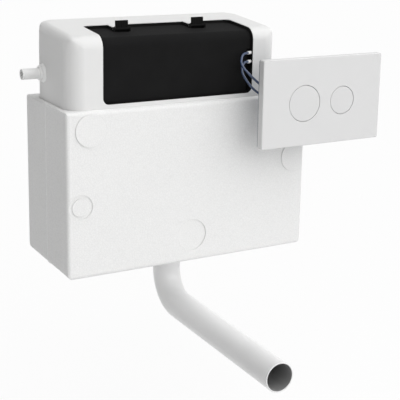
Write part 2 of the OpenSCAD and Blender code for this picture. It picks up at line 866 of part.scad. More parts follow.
module button(x, d, cup_d) {
    skirt_r = cup_d / 2 - cup_wall - slide_gap;
    back_y = plate_y + button_t;
    color(color_white)
    at_button(x) {
        translate([0, plate_y, 0]) rotate([-90, 0, 0])
            rotate_extrude()
                polygon([[0, 0], [d / 2 - button_chamfer, 0], [d / 2, button_chamfer],
                    [d / 2, button_t], [0, button_t]]);
        ring_y(back_y - past / 2, back_y + skirt_len, skirt_r, skirt_r - skirt_t);
    }
}

skirt_t = 1.6;

module button_full() { button(button_full_x, button_full_d, cup_full_d); }
module button_half() { button(button_half_x, button_half_d, cup_half_d); }

// A pump cup: flange in front of the frame, closed back, spigot to the left
module pump_cup(x, d) {
    r = d / 2;
    color(color_white)
    at_button(x)
    difference() {
        union() {
            rod_y(plate_back_y - cup_flange_t, cup_back_y, r);
            rod_y(plate_back_y - cup_flange_t, plate_back_y, r + cup_flange);
            translate([0, cup_back_y - spigot_ahead, 0]) rod_x(-r - spigot_len, -r + cup_wall, stub_d / 2);
        }
        rod_y(plate_back_y - cup_flange_t - past, cup_back_y - cup_wall, r - cup_wall);
        translate([0, cup_back_y - spigot_ahead, 0]) rod_x(-r - spigot_len - past, 0, stub_bore / 2);
    }
}

module pump_cup_full() { pump_cup(button_full_x, cup_full_d); }
module pump_cup_half() { pump_cup(button_half_x, cup_half_d); }

// Rubber bellows as a turned profile, closed at both ends, along its own Z
function fold_profile(h, r_out, r_in, folds) =
    [for (i = [0 : 2 * folds]) [i % 2 == 0 ? r_in : r_out, h * i / (2 * folds)]];

bellows_wall = 1;
bellows_folds = 5;

module bellows(h, r) {
    outer = fold_profile(h, r, r - bellows_fold_depth, bellows_folds);
    difference() {
        rotate_extrude() polygon(concat([[0, 0]], outer, [[0, h]]));
        translate([0, 0, bellows_wall])
            cylinder(h = h - 2 * bellows_wall, r = r - bellows_fold_depth - bellows_wall);
    }
}

bellows_fold_depth = 3;
bellows_side_gap = 1;

module pump_bellows(x, d) {
    front = plate_y + button_t + press_gap;
    r = d / 2 - cup_wall - slide_gap - skirt_t - bellows_side_gap;
    color(color_rubber)
    at_button(x) translate([0, front, 0]) rotate([-90, 0, 0])
        bellows(cup_back_y - cup_wall - press_gap - front, r);
}

module pump_bellows_full() { pump_bellows(button_full_x, cup_full_d); }
module pump_bellows_half() { pump_bellows(button_half_x, cup_half_d); }

/* Outlet and flush valve */

washer_t = 2.5;
seat_flange_t = 4;
seat_flange_d = 86;
seat_rise = 8;
seat_wall = 5;
tail_len = 25;
back_nut_t = 10;
tail_end_z = tank_floor_z - tail_len;
washer_top_z = floor_in_z + washer_t;
flange_top_z = washer_top_z + seat_flange_t;
seat_z = flange_top_z + seat_rise;
pipe_entry = 18;
pipe_gap = 0.4;
bayonet_t = 2.5;
bayonet_h = 10;

module at_outlet() {
    translate([0, -outlet_from_wall, 0]) children();
}

module outlet_washer() {
    color(color_rubber) at_outlet()
        ring_z(floor_in_z, washer_top_z, seat_flange_d / 2 - 2, tail_d / 2 + thread_gap);
}

module outlet_seat() {
    color(color_white)
    at_outlet()
    difference() {
        union() {
            rod_z(washer_top_z, flange_top_z, seat_flange_d / 2);
            rod_z(tail_end_z, washer_top_z + past / 2, tail_d / 2);
            rod_z(flange_top_z - past / 2, seat_z, seat_d / 2);
            ring_z(flange_top_z - past / 2, flange_top_z + bayonet_h,
                cage_d / 2 + slide_gap + bayonet_t, cage_d / 2 + slide_gap);
        }
        rod_z(tail_end_z - past, tail_end_z + pipe_entry, pipe_d / 2 + pipe_gap);
        rod_z(tail_end_z, seat_z + past, tail_bore / 2);
        translate([0, 0, seat_z - seat_wall / 2])
            cylinder(h = seat_wall / 2 + past / 10, r1 = tail_bore / 2, r2 = seat_d / 2 - seat_wall / 2);
    }
}

// A round nut with grip ribs round its side
nut_ribs = 12;
nut_rib_w = 5;
nut_rib_t = 1.5;

module ribbed_nut(z0, z1, d, bore) {
    difference() {
        union() {
            rod_z(z0, z1, d / 2 - nut_rib_t);
            for (i = [0 : nut_ribs - 1])
                rotate([0, 0, 360 * i / nut_ribs])
                    block(0, d / 2, -nut_rib_w / 2, nut_rib_w / 2, z0, z1);
        }
        rod_z(z0 - past, z1 + past, bore / 2);
    }
}

module outlet_back_nut() {
    color(color_white) at_outlet()
        ribbed_nut(tank_floor_z - back_nut_t, tank_floor_z - press_gap, outlet_nut_d, tail_d + 2 * thread_gap);
}

cage_wall = 2.5;
cage_z0 = flange_top_z + press_gap;
cage_z1 = cage_z0 + cage_h;
window_w = 32;
window_h = 46;
window_low = 8;
cage_top_t = 3;

module valve_cage() {
    color(color_green)
    at_outlet()
    difference() {
        rod_z(cage_z0, cage_z1, cage_d / 2);
        rod_z(cage_z0 - past, cage_z1 + past, cage_d / 2 - cage_wall);
        for (a = [45 : 90 : 315])
            rotate([0, 0, a])
                block(0, cage_d, -window_w / 2, window_w / 2, cage_z0 + bayonet_h + window_low,
                    cage_z0 + bayonet_h + window_low + window_h);
    }
}

// The valve's top: a lid on the cage, a guide for the overflow tube, and a seat for each actuator
lid_t = 4;
lid_over = 3;
guide_wall = 3;
guide_h = 16;
actuator_x = 28;
lid_z1 = cage_z1 + press_gap + lid_t;

module valve_top() {
    color(color_green)
    at_outlet()
    difference() {
        union() {
            rod_z(cage_z1 + press_gap, lid_z1, cage_d / 2 + lid_over);
            rod_z(lid_z1 - past / 2, lid_z1 + guide_h, overflow_d / 2 + slide_gap + guide_wall);
        }
        rod_z(cage_z1 - past, lid_z1 + guide_h + past, overflow_d / 2 + slide_gap);
    }
}

overflow_wall = 1.5;
overflow_z = tank_floor_z + overflow_h;
disc_t = 3;
disc_over = 1;
seal_disc_t = 3;
hub_below = 4;
seal_z0 = seat_z + seat_gap;
disc_z0 = seal_z0 + seal_disc_t;

module overflow_tube() {
    color(color_white)
    at_outlet()
    difference() {
        union() {
            rod_z(seal_z0 - hub_below, overflow_z, overflow_d / 2);
            rod_z(disc_z0, disc_z0 + disc_t, seat_d / 2 + disc_over);
        }
        rod_z(seal_z0 - hub_below - past, overflow_z + past, overflow_d / 2 - overflow_wall);
    }
}

module seat_seal() {
    color(color_rubber) at_outlet()
        ring_z(seal_z0, disc_z0, seat_d / 2 + disc_over, overflow_d / 2 + thread_gap);
}

float_ring_z0 = disc_z0 + disc_t;
float_ring_h = 36;
float_ring_gap = 6;

// A ring shaped cup, open below, that holds air while the water falls
module full_flush_float() {
    r_out = cage_d / 2 - cage_wall - float_ring_gap;
    r_in = overflow_d / 2 + thread_gap;
    color(color_grey)
    at_outlet()
    difference() {
        ring_z(float_ring_z0, float_ring_z0 + float_ring_h, r_out, r_in);
        ring_z(float_ring_z0 - past, float_ring_z0 + float_ring_h - float_wall,
            r_out - float_wall, r_in + float_wall);
    }
}

float_wall = 2;

// The yoke clamps the overflow tube and reaches over the full flush plunger
yoke_below_rim = 8;
yoke_t = 6;
yoke_w = 16;
yoke_z1 = overflow_z - yoke_below_rim;
yoke_z0 = yoke_z1 - yoke_t;

module lifting_yoke() {
    color(color_green)
    at_outlet()
    difference() {
        union() {
            rod_z(yoke_z0, yoke_z1, overflow_d / 2 + guide_wall);
            block(0, actuator_x + actuator_r, -yoke_w / 2, yoke_w / 2, yoke_z0, yoke_z1);
        }
        rod_z(yoke_z0 - past, yoke_z1 + past, overflow_d / 2 + thread_gap);
    }
}

actuator_r = 9;
actuator_wall = 1.4;
actuator_h = 20;
actuator_z0 = lid_z1;

module actuator_cup(side) {
    color(color_white)
    at_outlet()
    translate([side * actuator_x, 0, 0])
    difference() {
        rod_z(actuator_z0, actuator_z0 + actuator_h, actuator_r);
        rod_z(actuator_z0 + actuator_wall, actuator_z0 + actuator_h + past, actuator_r - actuator_wall);
    }
}

module actuator_cup_full() { actuator_cup(1); }
module actuator_cup_half() { actuator_cup(-1); }

plunger_r = actuator_r - actuator_wall - slide_gap;
plunger_t = 4;
plunger_z0 = actuator_z0 + actuator_h - plunger_t;

module lift_bellows(side) {
    color(color_rubber)
    at_outlet()
    translate([side * actuator_x, 0, actuator_z0 + actuator_wall + press_gap])
        cylinder(h = plunger_z0 - press_gap - actuator_z0 - actuator_wall - press_gap,
            r = plunger_r - press_gap);
}

module lift_bellows_full() { lift_bellows(1); }
module lift_bellows_half() { lift_bellows(-1); }

plunger_stem_r = 4;

module plunger_full() {
    color(color_grey)
    at_outlet()
    translate([actuator_x, 0, 0]) {
        rod_z(plunger_z0, plunger_z0 + plunger_t, plunger_r);
        rod_z(plunger_z0, yoke_z0 - seat_gap, plunger_stem_r);
    }
}

// The half flush carrier: a plunger, an arm over the cage's side and a rod down to its float
carrier_x = 56;
carrier_rod_r = 3;
carrier_arm_t = 4;
carrier_arm_w = 10;
carrier_rise = 8;
half_float_w = 24;
half_float_d = 40;
half_float_h = 44;
half_float_under_cage = 30;
half_float_z1 = cage_z1 - half_float_under_cage;
carrier_arm_z = plunger_z0 + carrier_rise;

module half_flush_carrier() {
    color(color_grey)
    at_outlet() {
        translate([-actuator_x, 0, 0]) {
            rod_z(plunger_z0, plunger_z0 + plunger_t, plunger_r);
            rod_z(plunger_z0, carrier_arm_z + carrier_arm_t, plunger_stem_r);
        }
        block(-carrier_x, -actuator_x, -carrier_arm_w / 2, carrier_arm_w / 2,
            carrier_arm_z, carrier_arm_z + carrier_arm_t);
        translate([-carrier_x, 0, 0]) rod_z(half_float_z1, carrier_arm_z + carrier_arm_t, carrier_rod_r);
    }
}

module half_flush_float() {
    w = half_float_w / 2;
    d = half_float_d / 2;
    color(color_grey)
    at_outlet()
    translate([-carrier_x, 0, 0])
    difference() {
        along_z(half_float_z1 - half_float_h, half_float_z1) round_rect(-w, w, -d, d, half_float_r);
        along_z(half_float_z1 - half_float_h - past, half_float_z1 - float_wall)
            round_rect(-w + float_wall, w - float_wall, -d + float_wall, d - float_wall,
                half_float_r - float_wall);
    }
}

half_float_r = 5;

/* Flush pipe */

pipe_run_z = base_z - pipe_drop;
pipe_top_z = tail_end_z + pipe_entry - press_gap;
pipe_end_y = -outlet_from_wall - pipe_reach;

module pipe_path(r) {
    at_outlet() {
        rod_z(pipe_run_z + pipe_bend_r, pipe_top_z, r);
        translate([0, -pipe_bend_r, pipe_run_z + pipe_bend_r]) rotate([0, 90, 0])
            rotate_extrude(angle = 90) translate([pipe_bend_r, 0]) circle(r = r);
        translate([0, 0, pipe_run_z]) rod_y(-pipe_reach, -pipe_bend_r, r);
    }
}

module flush_pipe() {
    color(color_white)
    difference() {
        pipe_path(pipe_d / 2);
        pipe_path(pipe_d / 2 - pipe_wall);
        at_outlet() rod_z(pipe_top_z - past, pipe_top_z + past, pipe_d / 2 - pipe_wall);
        at_outlet() translate([0, 0, pipe_run_z])
            rod_y(-pipe_reach - past, -pipe_reach + past, pipe_d / 2 - pipe_wall);
    }
}

cone_h = 4;
pipe_nut_t = 16;
pipe_nut_lip = 2;
pipe_nut_z0 = tail_end_z - cone_h - pipe_nut_lip;

module pipe_cone_seal() {
    color(color_rubber)
    at_outlet()
    difference() {
        translate([0, 0, tail_end_z - cone_h + press_gap])
            cylinder(h = cone_h - 2 * press_gap, r1 = tail_d / 2 - 1, r2 = tail_d / 2 - 3);
        rod_z(tail_end_z - cone_h - past, tail_end_z + past, pipe_d / 2 + thread_gap);
    }
}

module flush_pipe_nut() {
    color(color_white)
    at_outlet()
    difference() {
        ribbed_nut(pipe_nut_z0, pipe_nut_z0 + pipe_nut_t, outlet_nut_d, pipe_d + 2 * pipe_gap);
        rod_z(pipe_nut_z0 + pipe_nut_lip, pipe_nut_z0 + pipe_nut_t + past, tail_d / 2 + thread_gap);
    }
}

/* Fill valve */

inlet_washer_t = 2;
inlet_flange_t = 3;
inlet_flange_d = 25;
inlet_shoulder = 3.5;
inlet_nub_r = 1.8;
inlet_nut_taper = 3;
wall_in_x = tank_left_x + tank_wall;
inlet_flange_x = wall_in_x + inlet_washer_t;
inlet_shoulder_x = tank_left_x - inlet_nut_t - inlet_shoulder;
neck_d = 20;
chamber_x = tank_left_x + chamber_in;
chamber_wall = 4;
chamber_above = 4;
chamber_z1 = -inlet_drop + neck_d / 2 + chamber_above;
chamber_z0 = chamber_z1 - chamber_h;
tube_socket_h = 10;
tube_socket_wall = 1.6;

module at_inlet() {
    translate([0, -inlet_from_wall, -inlet_drop]) children();
}

module at_chamber() {
    translate([chamber_x, -inlet_from_wall, 0]) children();
}

module fill_valve_body() {
    color(color_white)
    difference() {
        union() {
            at_inlet() {
                rod_x(tank_left_x - inlet_reach, inlet_shoulder_x + past / 2, inlet_d / 2);
                rod_x(inlet_shoulder_x, inlet_flange_x + past / 2, inlet_shank_d / 2);
                translate([0, 0, inlet_shank_d / 2])
                    rod_x(inlet_shoulder_x, tank_left_x - inlet_nut_t - press_gap, inlet_nub_r);
                rod_x(inlet_flange_x, inlet_flange_x + inlet_flange_t, inlet_flange_d / 2);
                rod_x(inlet_flange_x, chamber_x, neck_d / 2);
            }
            at_chamber() {
                rod_z(chamber_z0, chamber_z1, chamber_d / 2);
                rod_z(chamber_z0 - tube_socket_h, chamber_z0 + past / 2, fill_tube_d / 2 + tube_socket_wall);
            }
        }
        at_inlet() rod_x(tank_left_x - inlet_reach - past, chamber_x, inlet_bore / 2);
        at_chamber() {
            rod_z(chamber_z0 + chamber_wall, chamber_z1 + past, chamber_d / 2 - chamber_wall);
            rod_z(chamber_z0 - tube_socket_h - past, chamber_z0, fill_tube_d / 2 + press_gap);
            rod_z(chamber_z0 - past, chamber_z0 + chamber_wall + past, fill_tube_d / 2 - 2);
        }
    }
}

module inlet_lock_nut() {
    color(color_white)
    at_inlet()
    difference() {
        translate([tank_left_x - inlet_nut_t, 0, 0]) rotate([0, 90, 0])
            cylinder(h = inlet_nut_t - press_gap, r1 = inlet_nut_d / 2 - inlet_nut_taper, r2 = inlet_nut_d / 2);
        rod_x(tank_left_x - inlet_nut_t - past, tank_left_x + past, inlet_shank_d / 2 + thread_gap);
    }
}

module inlet_washer() {
    color(color_rubber)
    at_inlet()
    difference() {
        rod_x(wall_in_x, inlet_flange_x, inlet_flange_d / 2 - 0.5);
        rod_x(wall_in_x - past, inlet_flange_x + past, inlet_shank_d / 2 + thread_gap);
    }
}

strainer_len = 16;
strainer_wall = 1;
strainer_in = 14;

module inlet_strainer() {
    strainer_x = tank_left_x - inlet_reach + strainer_in;
    color(color_green)
    at_inlet()
    difference() {
        rod_x(strainer_x, strainer_x + strainer_len, inlet_bore / 2 - press_gap);
        rod_x(strainer_x - past, strainer_x + strainer_len - strainer_wall,
            inlet_bore / 2 - press_gap - strainer_wall);
    }
}

diaphragm_t = 2;
cap_t = 8;
cap_z0 = chamber_z1 + diaphragm_t;
cap_z1 = cap_z0 + cap_t;

module fill_diaphragm() {
    color(color_rubber) at_chamber() rod_z(chamber_z1, cap_z0, chamber_d / 2 - 0.5);
}

lever_pin_d = 3;
lever_t = 4;
lever_w = 10;
lever_lug_t = 3;
lever_back = 9;
lever_rise = 10;
lever_z = cap_z1 + lever_rise;
lever_pin_x = -lever_back;

module fill_valve_cap() {
    lug_y = lever_w / 2 + catch_side_gap;
    color(color_white)
    at_chamber()
    difference() {
        union() {
            rod_z(cap_z0, cap_z1, chamber_d / 2 + past);
            for (side = [-1, 1])
                translate([lever_pin_x, side * (lug_y + lever_lug_t / 2), 0]) {
                    block(-lug_r, lug_r, -lever_lug_t / 2, lever_lug_t / 2, cap_z1 - past, lever_z);
                    translate([0, 0, lever_z]) rod_y(-lever_lug_t / 2, lever_lug_t / 2, lug_r);
                }
        }
        translate([lever_pin_x, 0, lever_z]) rod_y(-far / 10, far / 10, lever_pin_d / 2 + pin_gap);
        rod_z(cap_z0 - past, cap_z0 + cap_t / 2, chamber_d / 2 - chamber_wall);
    }
}

module lever_pin() {
    pin_half = lever_w / 2 + catch_side_gap + lever_lug_t;
    color(color_grey)
    at_chamber() translate([lever_pin_x, 0, lever_z]) rod_y(-pin_half, pin_half, lever_pin_d / 2);
}

rod_r = 2;
rod_collar_r = 3.8;
rod_collar_t = 2;
lever_slot = 9;
lever_play = 1.9;
lever_end = 8;
lever_eye_r = 4;

module fill_lever() {
    color(color_grey)
    at_chamber() translate([lever_pin_x, 0, lever_z])
    difference() {
        union() {
            rod_y(-lever_w / 2, lever_w / 2, lever_eye_r);
            block(0, lever_len + lever_end, -lever_w / 2, lever_w / 2, -lever_t / 2, lever_t / 2);
        }
        rod_y(-lever_w, lever_w, lever_pin_d / 2 + pin_gap);
        block(lever_len - lever_slot / 2, lever_len + lever_slot / 2, -rod_r - slide_gap, rod_r + slide_gap,
            -lever_t, lever_t);
    }
}

rod_x0 = chamber_x + lever_pin_x + lever_len;
rod_top_z = lever_z + 10;
float_z1 = chamber_z0 - 12;

module float_rod() {
    collar_low_z = lever_z - lever_t / 2 - lever_play - rod_collar_t;
    collar_high_z = lever_z + lever_t / 2 + lever_play;
    color(color_grey)
    translate([rod_x0, -inlet_from_wall, 0]) {
        rod_z(float_z1 - float_h / 2, rod_top_z, rod_r);
        rod_z(collar_low_z, collar_low_z + rod_collar_t, rod_collar_r);
        rod_z(collar_high_z, collar_high_z + rod_collar_t, rod_collar_r);
    }
}

module fill_float() {
    color(color_grey)
    translate([rod_x0, -inlet_from_wall, 0])
    difference() {
        along_z(float_z1 - float_h, float_z1)
            round_rect(-float_w / 2, float_w / 2, -float_d / 2, float_d / 2, fill_float_r);
        difference() {
            along_z(float_z1 - float_h - past, float_z1 - float_wall)
                round_rect(-float_w / 2 + float_wall, float_w / 2 - float_wall,
                    -float_d / 2 + float_wall, float_d / 2 - float_wall, fill_float_r - float_wall);
            rod_z(float_z1 - float_h / 2, float_z1, rod_r + press_gap + float_wall);
        }
        rod_z(float_z1 - float_h / 2 - press_gap, float_z1 + past, rod_r + press_gap);
    }
}

fill_float_r = 6;

module fill_tube() {
    color(color_white)
    at_chamber()
        ring_z(chamber_z0 - fill_tube_len, chamber_z0 - press_gap, fill_tube_d / 2, fill_tube_d / 2 - 1.5);
}

foam_jacket_front();
foam_jacket_rear();
tank_body();
cover_seal();
access_cover();
catch_pins();
cover_catch_left();
cover_catch_right();
tube_stub_upper();
tube_stub_lower();
air_tube_full();
air_tube_half();
flush_plate();
plate_frame();
button_full();
button_half();
pump_cup_full();
pump_cup_half();
pump_bellows_full();
pump_bellows_half();
outlet_washer();
outlet_seat();
outlet_back_nut();
valve_cage();
valve_top();
overflow_tube();
seat_seal();
full_flush_float();
lifting_yoke();
actuator_cup_full();
actuator_cup_half();
lift_bellows_full();
lift_bellows_half();
plunger_full();
half_flush_carrier();
half_flush_float();
flush_pipe();
pipe_cone_seal();
flush_pipe_nut();
fill_valve_body();
inlet_lock_nut();
inlet_washer();
inlet_strainer();
fill_diaphragm();
fill_valve_cap();
fill_lever();
lever_pin();
float_rod();
fill_float();
fill_tube();
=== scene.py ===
"""Concealed dual flush cistern: the looks of its pieces, as an add-on that is run as a script."""

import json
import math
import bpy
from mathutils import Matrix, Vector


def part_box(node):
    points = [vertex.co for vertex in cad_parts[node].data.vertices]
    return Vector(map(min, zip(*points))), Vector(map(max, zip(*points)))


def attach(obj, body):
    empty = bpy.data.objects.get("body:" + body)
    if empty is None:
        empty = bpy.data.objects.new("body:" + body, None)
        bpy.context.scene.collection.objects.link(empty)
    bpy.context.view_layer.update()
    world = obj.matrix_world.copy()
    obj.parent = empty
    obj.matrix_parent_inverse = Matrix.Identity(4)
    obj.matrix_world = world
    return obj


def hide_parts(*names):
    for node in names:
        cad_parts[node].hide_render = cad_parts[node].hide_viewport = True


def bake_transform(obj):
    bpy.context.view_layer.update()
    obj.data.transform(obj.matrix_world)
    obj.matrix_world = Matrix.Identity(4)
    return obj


bl_info = {
    "name": "Concealed Cistern",
    "version": (1, 0, 0),
    "blender": (4, 5, 0),
    "location": "View3D > Sidebar > Cistern",
    "description": "Dresses the solids of a concealed dual flush cistern and sets up its stage",
    "category": "Object",
}

import bmesh
import bpy
from bpy.props import FloatProperty, FloatVectorProperty, IntProperty, PointerProperty
from bpy.types import Operator, Panel, PropertyGroup
from mathutils import Matrix, Vector

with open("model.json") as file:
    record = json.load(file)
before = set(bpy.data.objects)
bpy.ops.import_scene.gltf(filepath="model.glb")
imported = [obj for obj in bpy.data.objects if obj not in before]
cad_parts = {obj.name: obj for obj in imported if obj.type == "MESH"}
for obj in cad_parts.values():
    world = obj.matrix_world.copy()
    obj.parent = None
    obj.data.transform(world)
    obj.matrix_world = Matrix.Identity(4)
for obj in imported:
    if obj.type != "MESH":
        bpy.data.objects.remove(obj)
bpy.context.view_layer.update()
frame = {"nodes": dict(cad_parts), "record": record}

MM = 0.001
WHITE = (1.0, 1.0, 1.0, 1.0)

# A length in metres or a slope that counts as nothing
NOTHING = 0.000001


def shade(name, description, default):
    """A colour that a user may change."""
    return FloatVectorProperty(name=name, description=description, default=default,
                               subtype="COLOR", size=3, min=0.0, max=1.0)


def length(name, description, default):
    """A size that a user may change, in metres."""
    return FloatProperty(name=name, description=description, default=default, min=0.0,
                         unit="LENGTH", precision=5)


def brightness(name, description, default):
    """A light's strength that a user may change."""
    return FloatProperty(name=name, description=description, default=default, min=0.0)


class CisternColours(PropertyGroup):
    """Colours of the finishes"""

    foam: shade("Bead foam", "Colour of the foam jacket", (0.86, 0.86, 0.855))
    tank: shade("Tank", "Colour of the moulded tank", (0.79, 0.79, 0.785))
    cover: shade("Cover", "Colour of the access cover and its catches", (0.0118, 0.0118, 0.012))
    rubber: shade("Rubber", "Colour of seals and bellows", (0.003, 0.003, 0.003))
    tube: shade("Air tube", "Colour of the air tubes", (0.026, 0.05, 0.115))
    plate: shade("Flush plate", "Colour of the flush plate", (0.73, 0.73, 0.73))
    button: shade("Buttons", "Colour of the two buttons", (0.72, 0.72, 0.72))
    pipe: shade("Flush pipe", "Colour of the flush pipe", (0.82, 0.82, 0.82))
    # Painted shade: the bore is the pipe's own plastic, darkened to stand for the shade inside it
    bore: shade("Pipe bore", "Colour of the flush pipe's inside", (0.3, 0.3, 0.3))
    fitting: shade("Fittings", "Colour of the white fittings", (0.86, 0.86, 0.855))
    valve: shade("Valve", "Colour of the flush valve's cage", (0.05, 0.26, 0.17))
    grey: shade("Grey plastic", "Colour of floats and levers", (0.3, 0.32, 0.35))
    steel: shade("Steel", "Colour of the pins", (0.55, 0.55, 0.56))
    floor: shade("Floor", "Colour of the floor", (0.86, 0.86, 0.86))


class CisternSizes(PropertyGroup):
    """Sizes of the pieces' details, and strengths of the lights"""

    bead: length("Foam bead", "Size of one foam bead", 3.6 * MM)
    # The line round a mould mark is a groove in the bump, darkened in colour as painted shade
    mark_line: length("Mark line", "Width of the line round a mould mark", 1.4 * MM)
    foam_edge: length("Foam edge", "Softness of the foam's edges", 0.9 * MM)
    moulded_edge: length("Moulded edge", "Softness of moulded plastic edges", 0.35 * MM)
    stub_edge: length("Stub edge", "Softness of the air tube stubs' edges", 0.2 * MM)
    button_crown: length("Button crown", "How far a button's face is crowned", 0.25 * MM)
    button_rim: length("Button rim", "Radius of a button's rim", 0.5 * MM)
    tube_diameter: length("Air tube", "Diameter of an air tube", 3.8 * MM)
    pipe_wall: length("Pipe wall", "Wall of the flush pipe", 2.0 * MM)
    pipe_bend: length("Pipe bend", "Radius of the bend at the pipe's middle", 50.0 * MM)
    pipe_rim: length("Pipe rim", "Softness of the flush pipe's rim", 0.6 * MM)
    floor_drop: length("Floor drop", "From the pipe down to the floor", 0.16)
    key_strength: brightness("Key light", "Strength of the key light", 3.1)
    room_strength: brightness("Room light", "Strength of the room's light", 0.165)
    round_steps: IntProperty(name="Round steps", description="Steps round a turned piece",
                             default=96, min=16)


def colours():
    return bpy.context.scene.cistern_colours


def sizes():
    return bpy.context.scene.cistern_sizes


class Reading:
    """A socket of a node tree that Python's operators can work on."""

    def __init__(self, web, socket):
        self.web = web
        self.socket = socket

    def maths(self, operation, left, right):
        return self.web.node("ShaderNodeMath", {"operation": operation}, {0: left, 1: right})

    def __add__(self, other):
        return self.maths("ADD", self, other)

    __radd__ = __add__

    def __sub__(self, other):
        return self.maths("SUBTRACT", self, other)

    def __rsub__(self, other):
        return self.maths("SUBTRACT", other, self)

    def __mul__(self, other):
        return self.maths("MULTIPLY", self, other)

    __rmul__ = __mul__

    def __lt__(self, other):
        return self.maths("LESS_THAN", self, other)

    def __gt__(self, other):
        return self.maths("GREATER_THAN", self, other)


class Web:
    """A node tree whose nodes are all made by one method."""

    def __init__(self, owner):
        owner.use_nodes = True
        self.tree = owner.node_tree

    def feed(self, socket, value):
        if isinstance(value, Reading):
            self.tree.links.new(value.socket, socket)
        else:
            socket.default_value = value

    def node(self, kind, settings, values, output=0):
        """Makes a node: settings first, then the values or links of its inputs; gives an output."""
        made = self.tree.nodes.new(kind)
        stops = settings.get("stops", ())
        for name, value in settings.items():
            if name != "stops":
                setattr(made, name, value)
        while stops and len(made.color_ramp.elements) < len(stops):
            made.color_ramp.elements.new(1.0)
        for index, (position, value) in enumerate(stops):
            made.color_ramp.elements[index].position = position
            made.color_ramp.elements[index].color = (value, value, value, 1.0)
        for socket, value in values.items():
            self.feed(made.inputs[socket], value)
        return Reading(self, made.outputs[output])

    def surface(self, node, shader):
        """Gives the tree's output node a shader."""
        self.feed(self.tree.nodes[node].inputs["Surface"], shader)


class Finish(Web):
    """A material in shades of one colour, with its Principled shader and Object coordinates."""

    def __init__(self, name, colour, roughness, **constants):
        self.material = bpy.data.materials.new(name)
        super().__init__(self.material)
        self.shader = self.tree.nodes["Principled BSDF"]
        self.colour = colour
        self.put("Base Color", (*colour, 1.0))
        self.put("Roughness", roughness)
        for socket, value in constants.items():
            self.put(socket.replace("_", " "), value)
        self.place = self.node("ShaderNodeTexCoord", {}, {}, "Object")

    def put(self, socket, value):
        self.feed(self.shader.inputs[socket], value)

    def stretched(self, scale):
        return self.node("ShaderNodeMapping", {}, {"Vector": self.place, "Scale": scale})

    def noise(self, scale, detail, vector=None):
        return self.node("ShaderNodeTexNoise", {}, {"Vector": vector or self.place, "Scale": scale,
                                                    "Detail": detail, "Roughness": 0.55})

    def tint(self, factor, low, high):
        """Base colour between two shades of the finish's own colour."""
        dark, light = ((*(min(1.0, channel * share) for channel in self.colour), 1.0)
                       for share in (low, high))
        self.put("Base Color", self.node("ShaderNodeMix", {"data_type": "RGBA"},
                                         {0: factor, 6: dark, 7: light}, 2))

    def bump(self, height, strength, depth):
        self.put("Normal", self.node("ShaderNodeBump", {}, {"Strength": strength, "Distance": depth,
                                                            "Height": height}))


# Mould marks on the foam's front in millimetres: x and z of the middle, and the radius
MOULD_MARKS = ((-171, -101, 25), (190, -177, 25), (-188, -217, 19), (-188, -217, 14), (1, -286, 25))
# The marks' lines, each a bumped groove with painted shade in the foam's colour, are drawn where y
# is below this, in metres
MARKED_FRONT = -0.15


def mark_grooves_and_shade(finish):
    """1 on the fine lines round the mould marks, and 0 elsewhere; they carry a real groove in the
    bump and painted shade in the colour.
    """
    across = finish.stretched((1.0, 0.0, 1.0))
    y = finish.node("ShaderNodeSeparateXYZ", {}, {"Vector": finish.place}, "Y")
    lines = 0.0
    for mark_x, mark_z, radius in MOULD_MARKS:
        reach = finish.node("ShaderNodeVectorMath", {"operation": "DISTANCE"},
                            {0: across, 1: (mark_x * MM, 0.0, mark_z * MM)}, "Value")
        lines = lines + finish.node("ShaderNodeMath", {"operation": "COMPARE"},
                                    {0: reach, 1: radius * MM, 2: sizes().mark_line / 2})
    return lines * (y < MARKED_FRONT)


def bead_foam():
    """Fused foam beads: flattened cells with dark seams, each a little lighter or darker."""
    finish = Finish("bead_foam", colours().foam, roughness=0.72, Specular_IOR_Level=0.32)
    lines = mark_grooves_and_shade(finish)
    wobble = finish.noise(scale=90.0, detail=2.0)
    cells = {"Vector": finish.place, "Scale": 1.0 / sizes().bead, "Randomness": 0.85}
    bead = finish.node("ShaderNodeTexVoronoi", {"feature": "F1"}, cells)
    seam = finish.node("ShaderNodeTexVoronoi", {"feature": "DISTANCE_TO_EDGE"}, cells)
    tone = finish.node("ShaderNodeTexVoronoi", {"feature": "F1"}, cells, "Color")
    grey = finish.node("ShaderNodeSeparateColor", {}, {"Color": tone})
    groove = finish.node("ShaderNodeValToRGB", {"stops": ((0.0, 0.0), (0.09, 0.75), (0.3, 1.0))},
                         {"Fac": seam})
    cloud = finish.noise(scale=14.0, detail=4.0)
    # The mould marks' lines darken the colour: painted shade along their grooves
    finish.tint(groove * 0.62 + grey * 0.2 + cloud * 0.28 - lines * 0.7, low=0.93, high=1.025)
    finish.put("Roughness", 0.66 + 0.14 * grey)
    finish.bump(groove * 0.7 + bead * -0.25 + wobble * 0.2 - lines * 1.2, strength=0.35,
                depth=0.3 * MM)
    return finish


def moulded(name, colour, roughness, grain=700.0, depth=0.03 * MM, wave=0.2 * MM, **constants):
    """Moulded plastic: a fine grain over a faint long wave, with a sheen that varies a little."""
    finish = Finish(name, colour, roughness, **constants)
    fine = finish.noise(scale=grain, detail=2.0)
    broad = finish.noise(scale=9.0, detail=2.0)
    patchy = finish.noise(scale=38.0, detail=4.0)
    finish.tint(0.6 * broad + 0.4 * patchy, low=0.975, high=1.02)
    finish.put("Roughness", roughness - 0.05 + 0.1 * patchy)
    finish.bump(fine * (depth / wave) + broad, strength=0.5, depth=wave)
    return finish


def tank_plastic():
    return moulded("tank_plastic", colours().tank, roughness=0.5, depth=0.04 * MM, wave=0.4 * MM,
                   Specular_IOR_Level=0.25)


def cover_plastic():
    """Black plastic with a fine spark eroded grain."""
    finish = Finish("cover_plastic", colours().cover, roughness=0.8, Specular_IOR_Level=0.03)
    grain = finish.node("ShaderNodeTexVoronoi", {"feature": "F1"},
                        {"Vector": finish.place, "Scale": 1700.0})
    cloud = finish.noise(scale=26.0, detail=3.0)
    finish.tint(cloud, low=0.8, high=1.25)
    finish.put("Roughness", 0.74 + 0.12 * cloud)
    finish.bump(grain, strength=0.25, depth=0.06 * MM)
    return finish


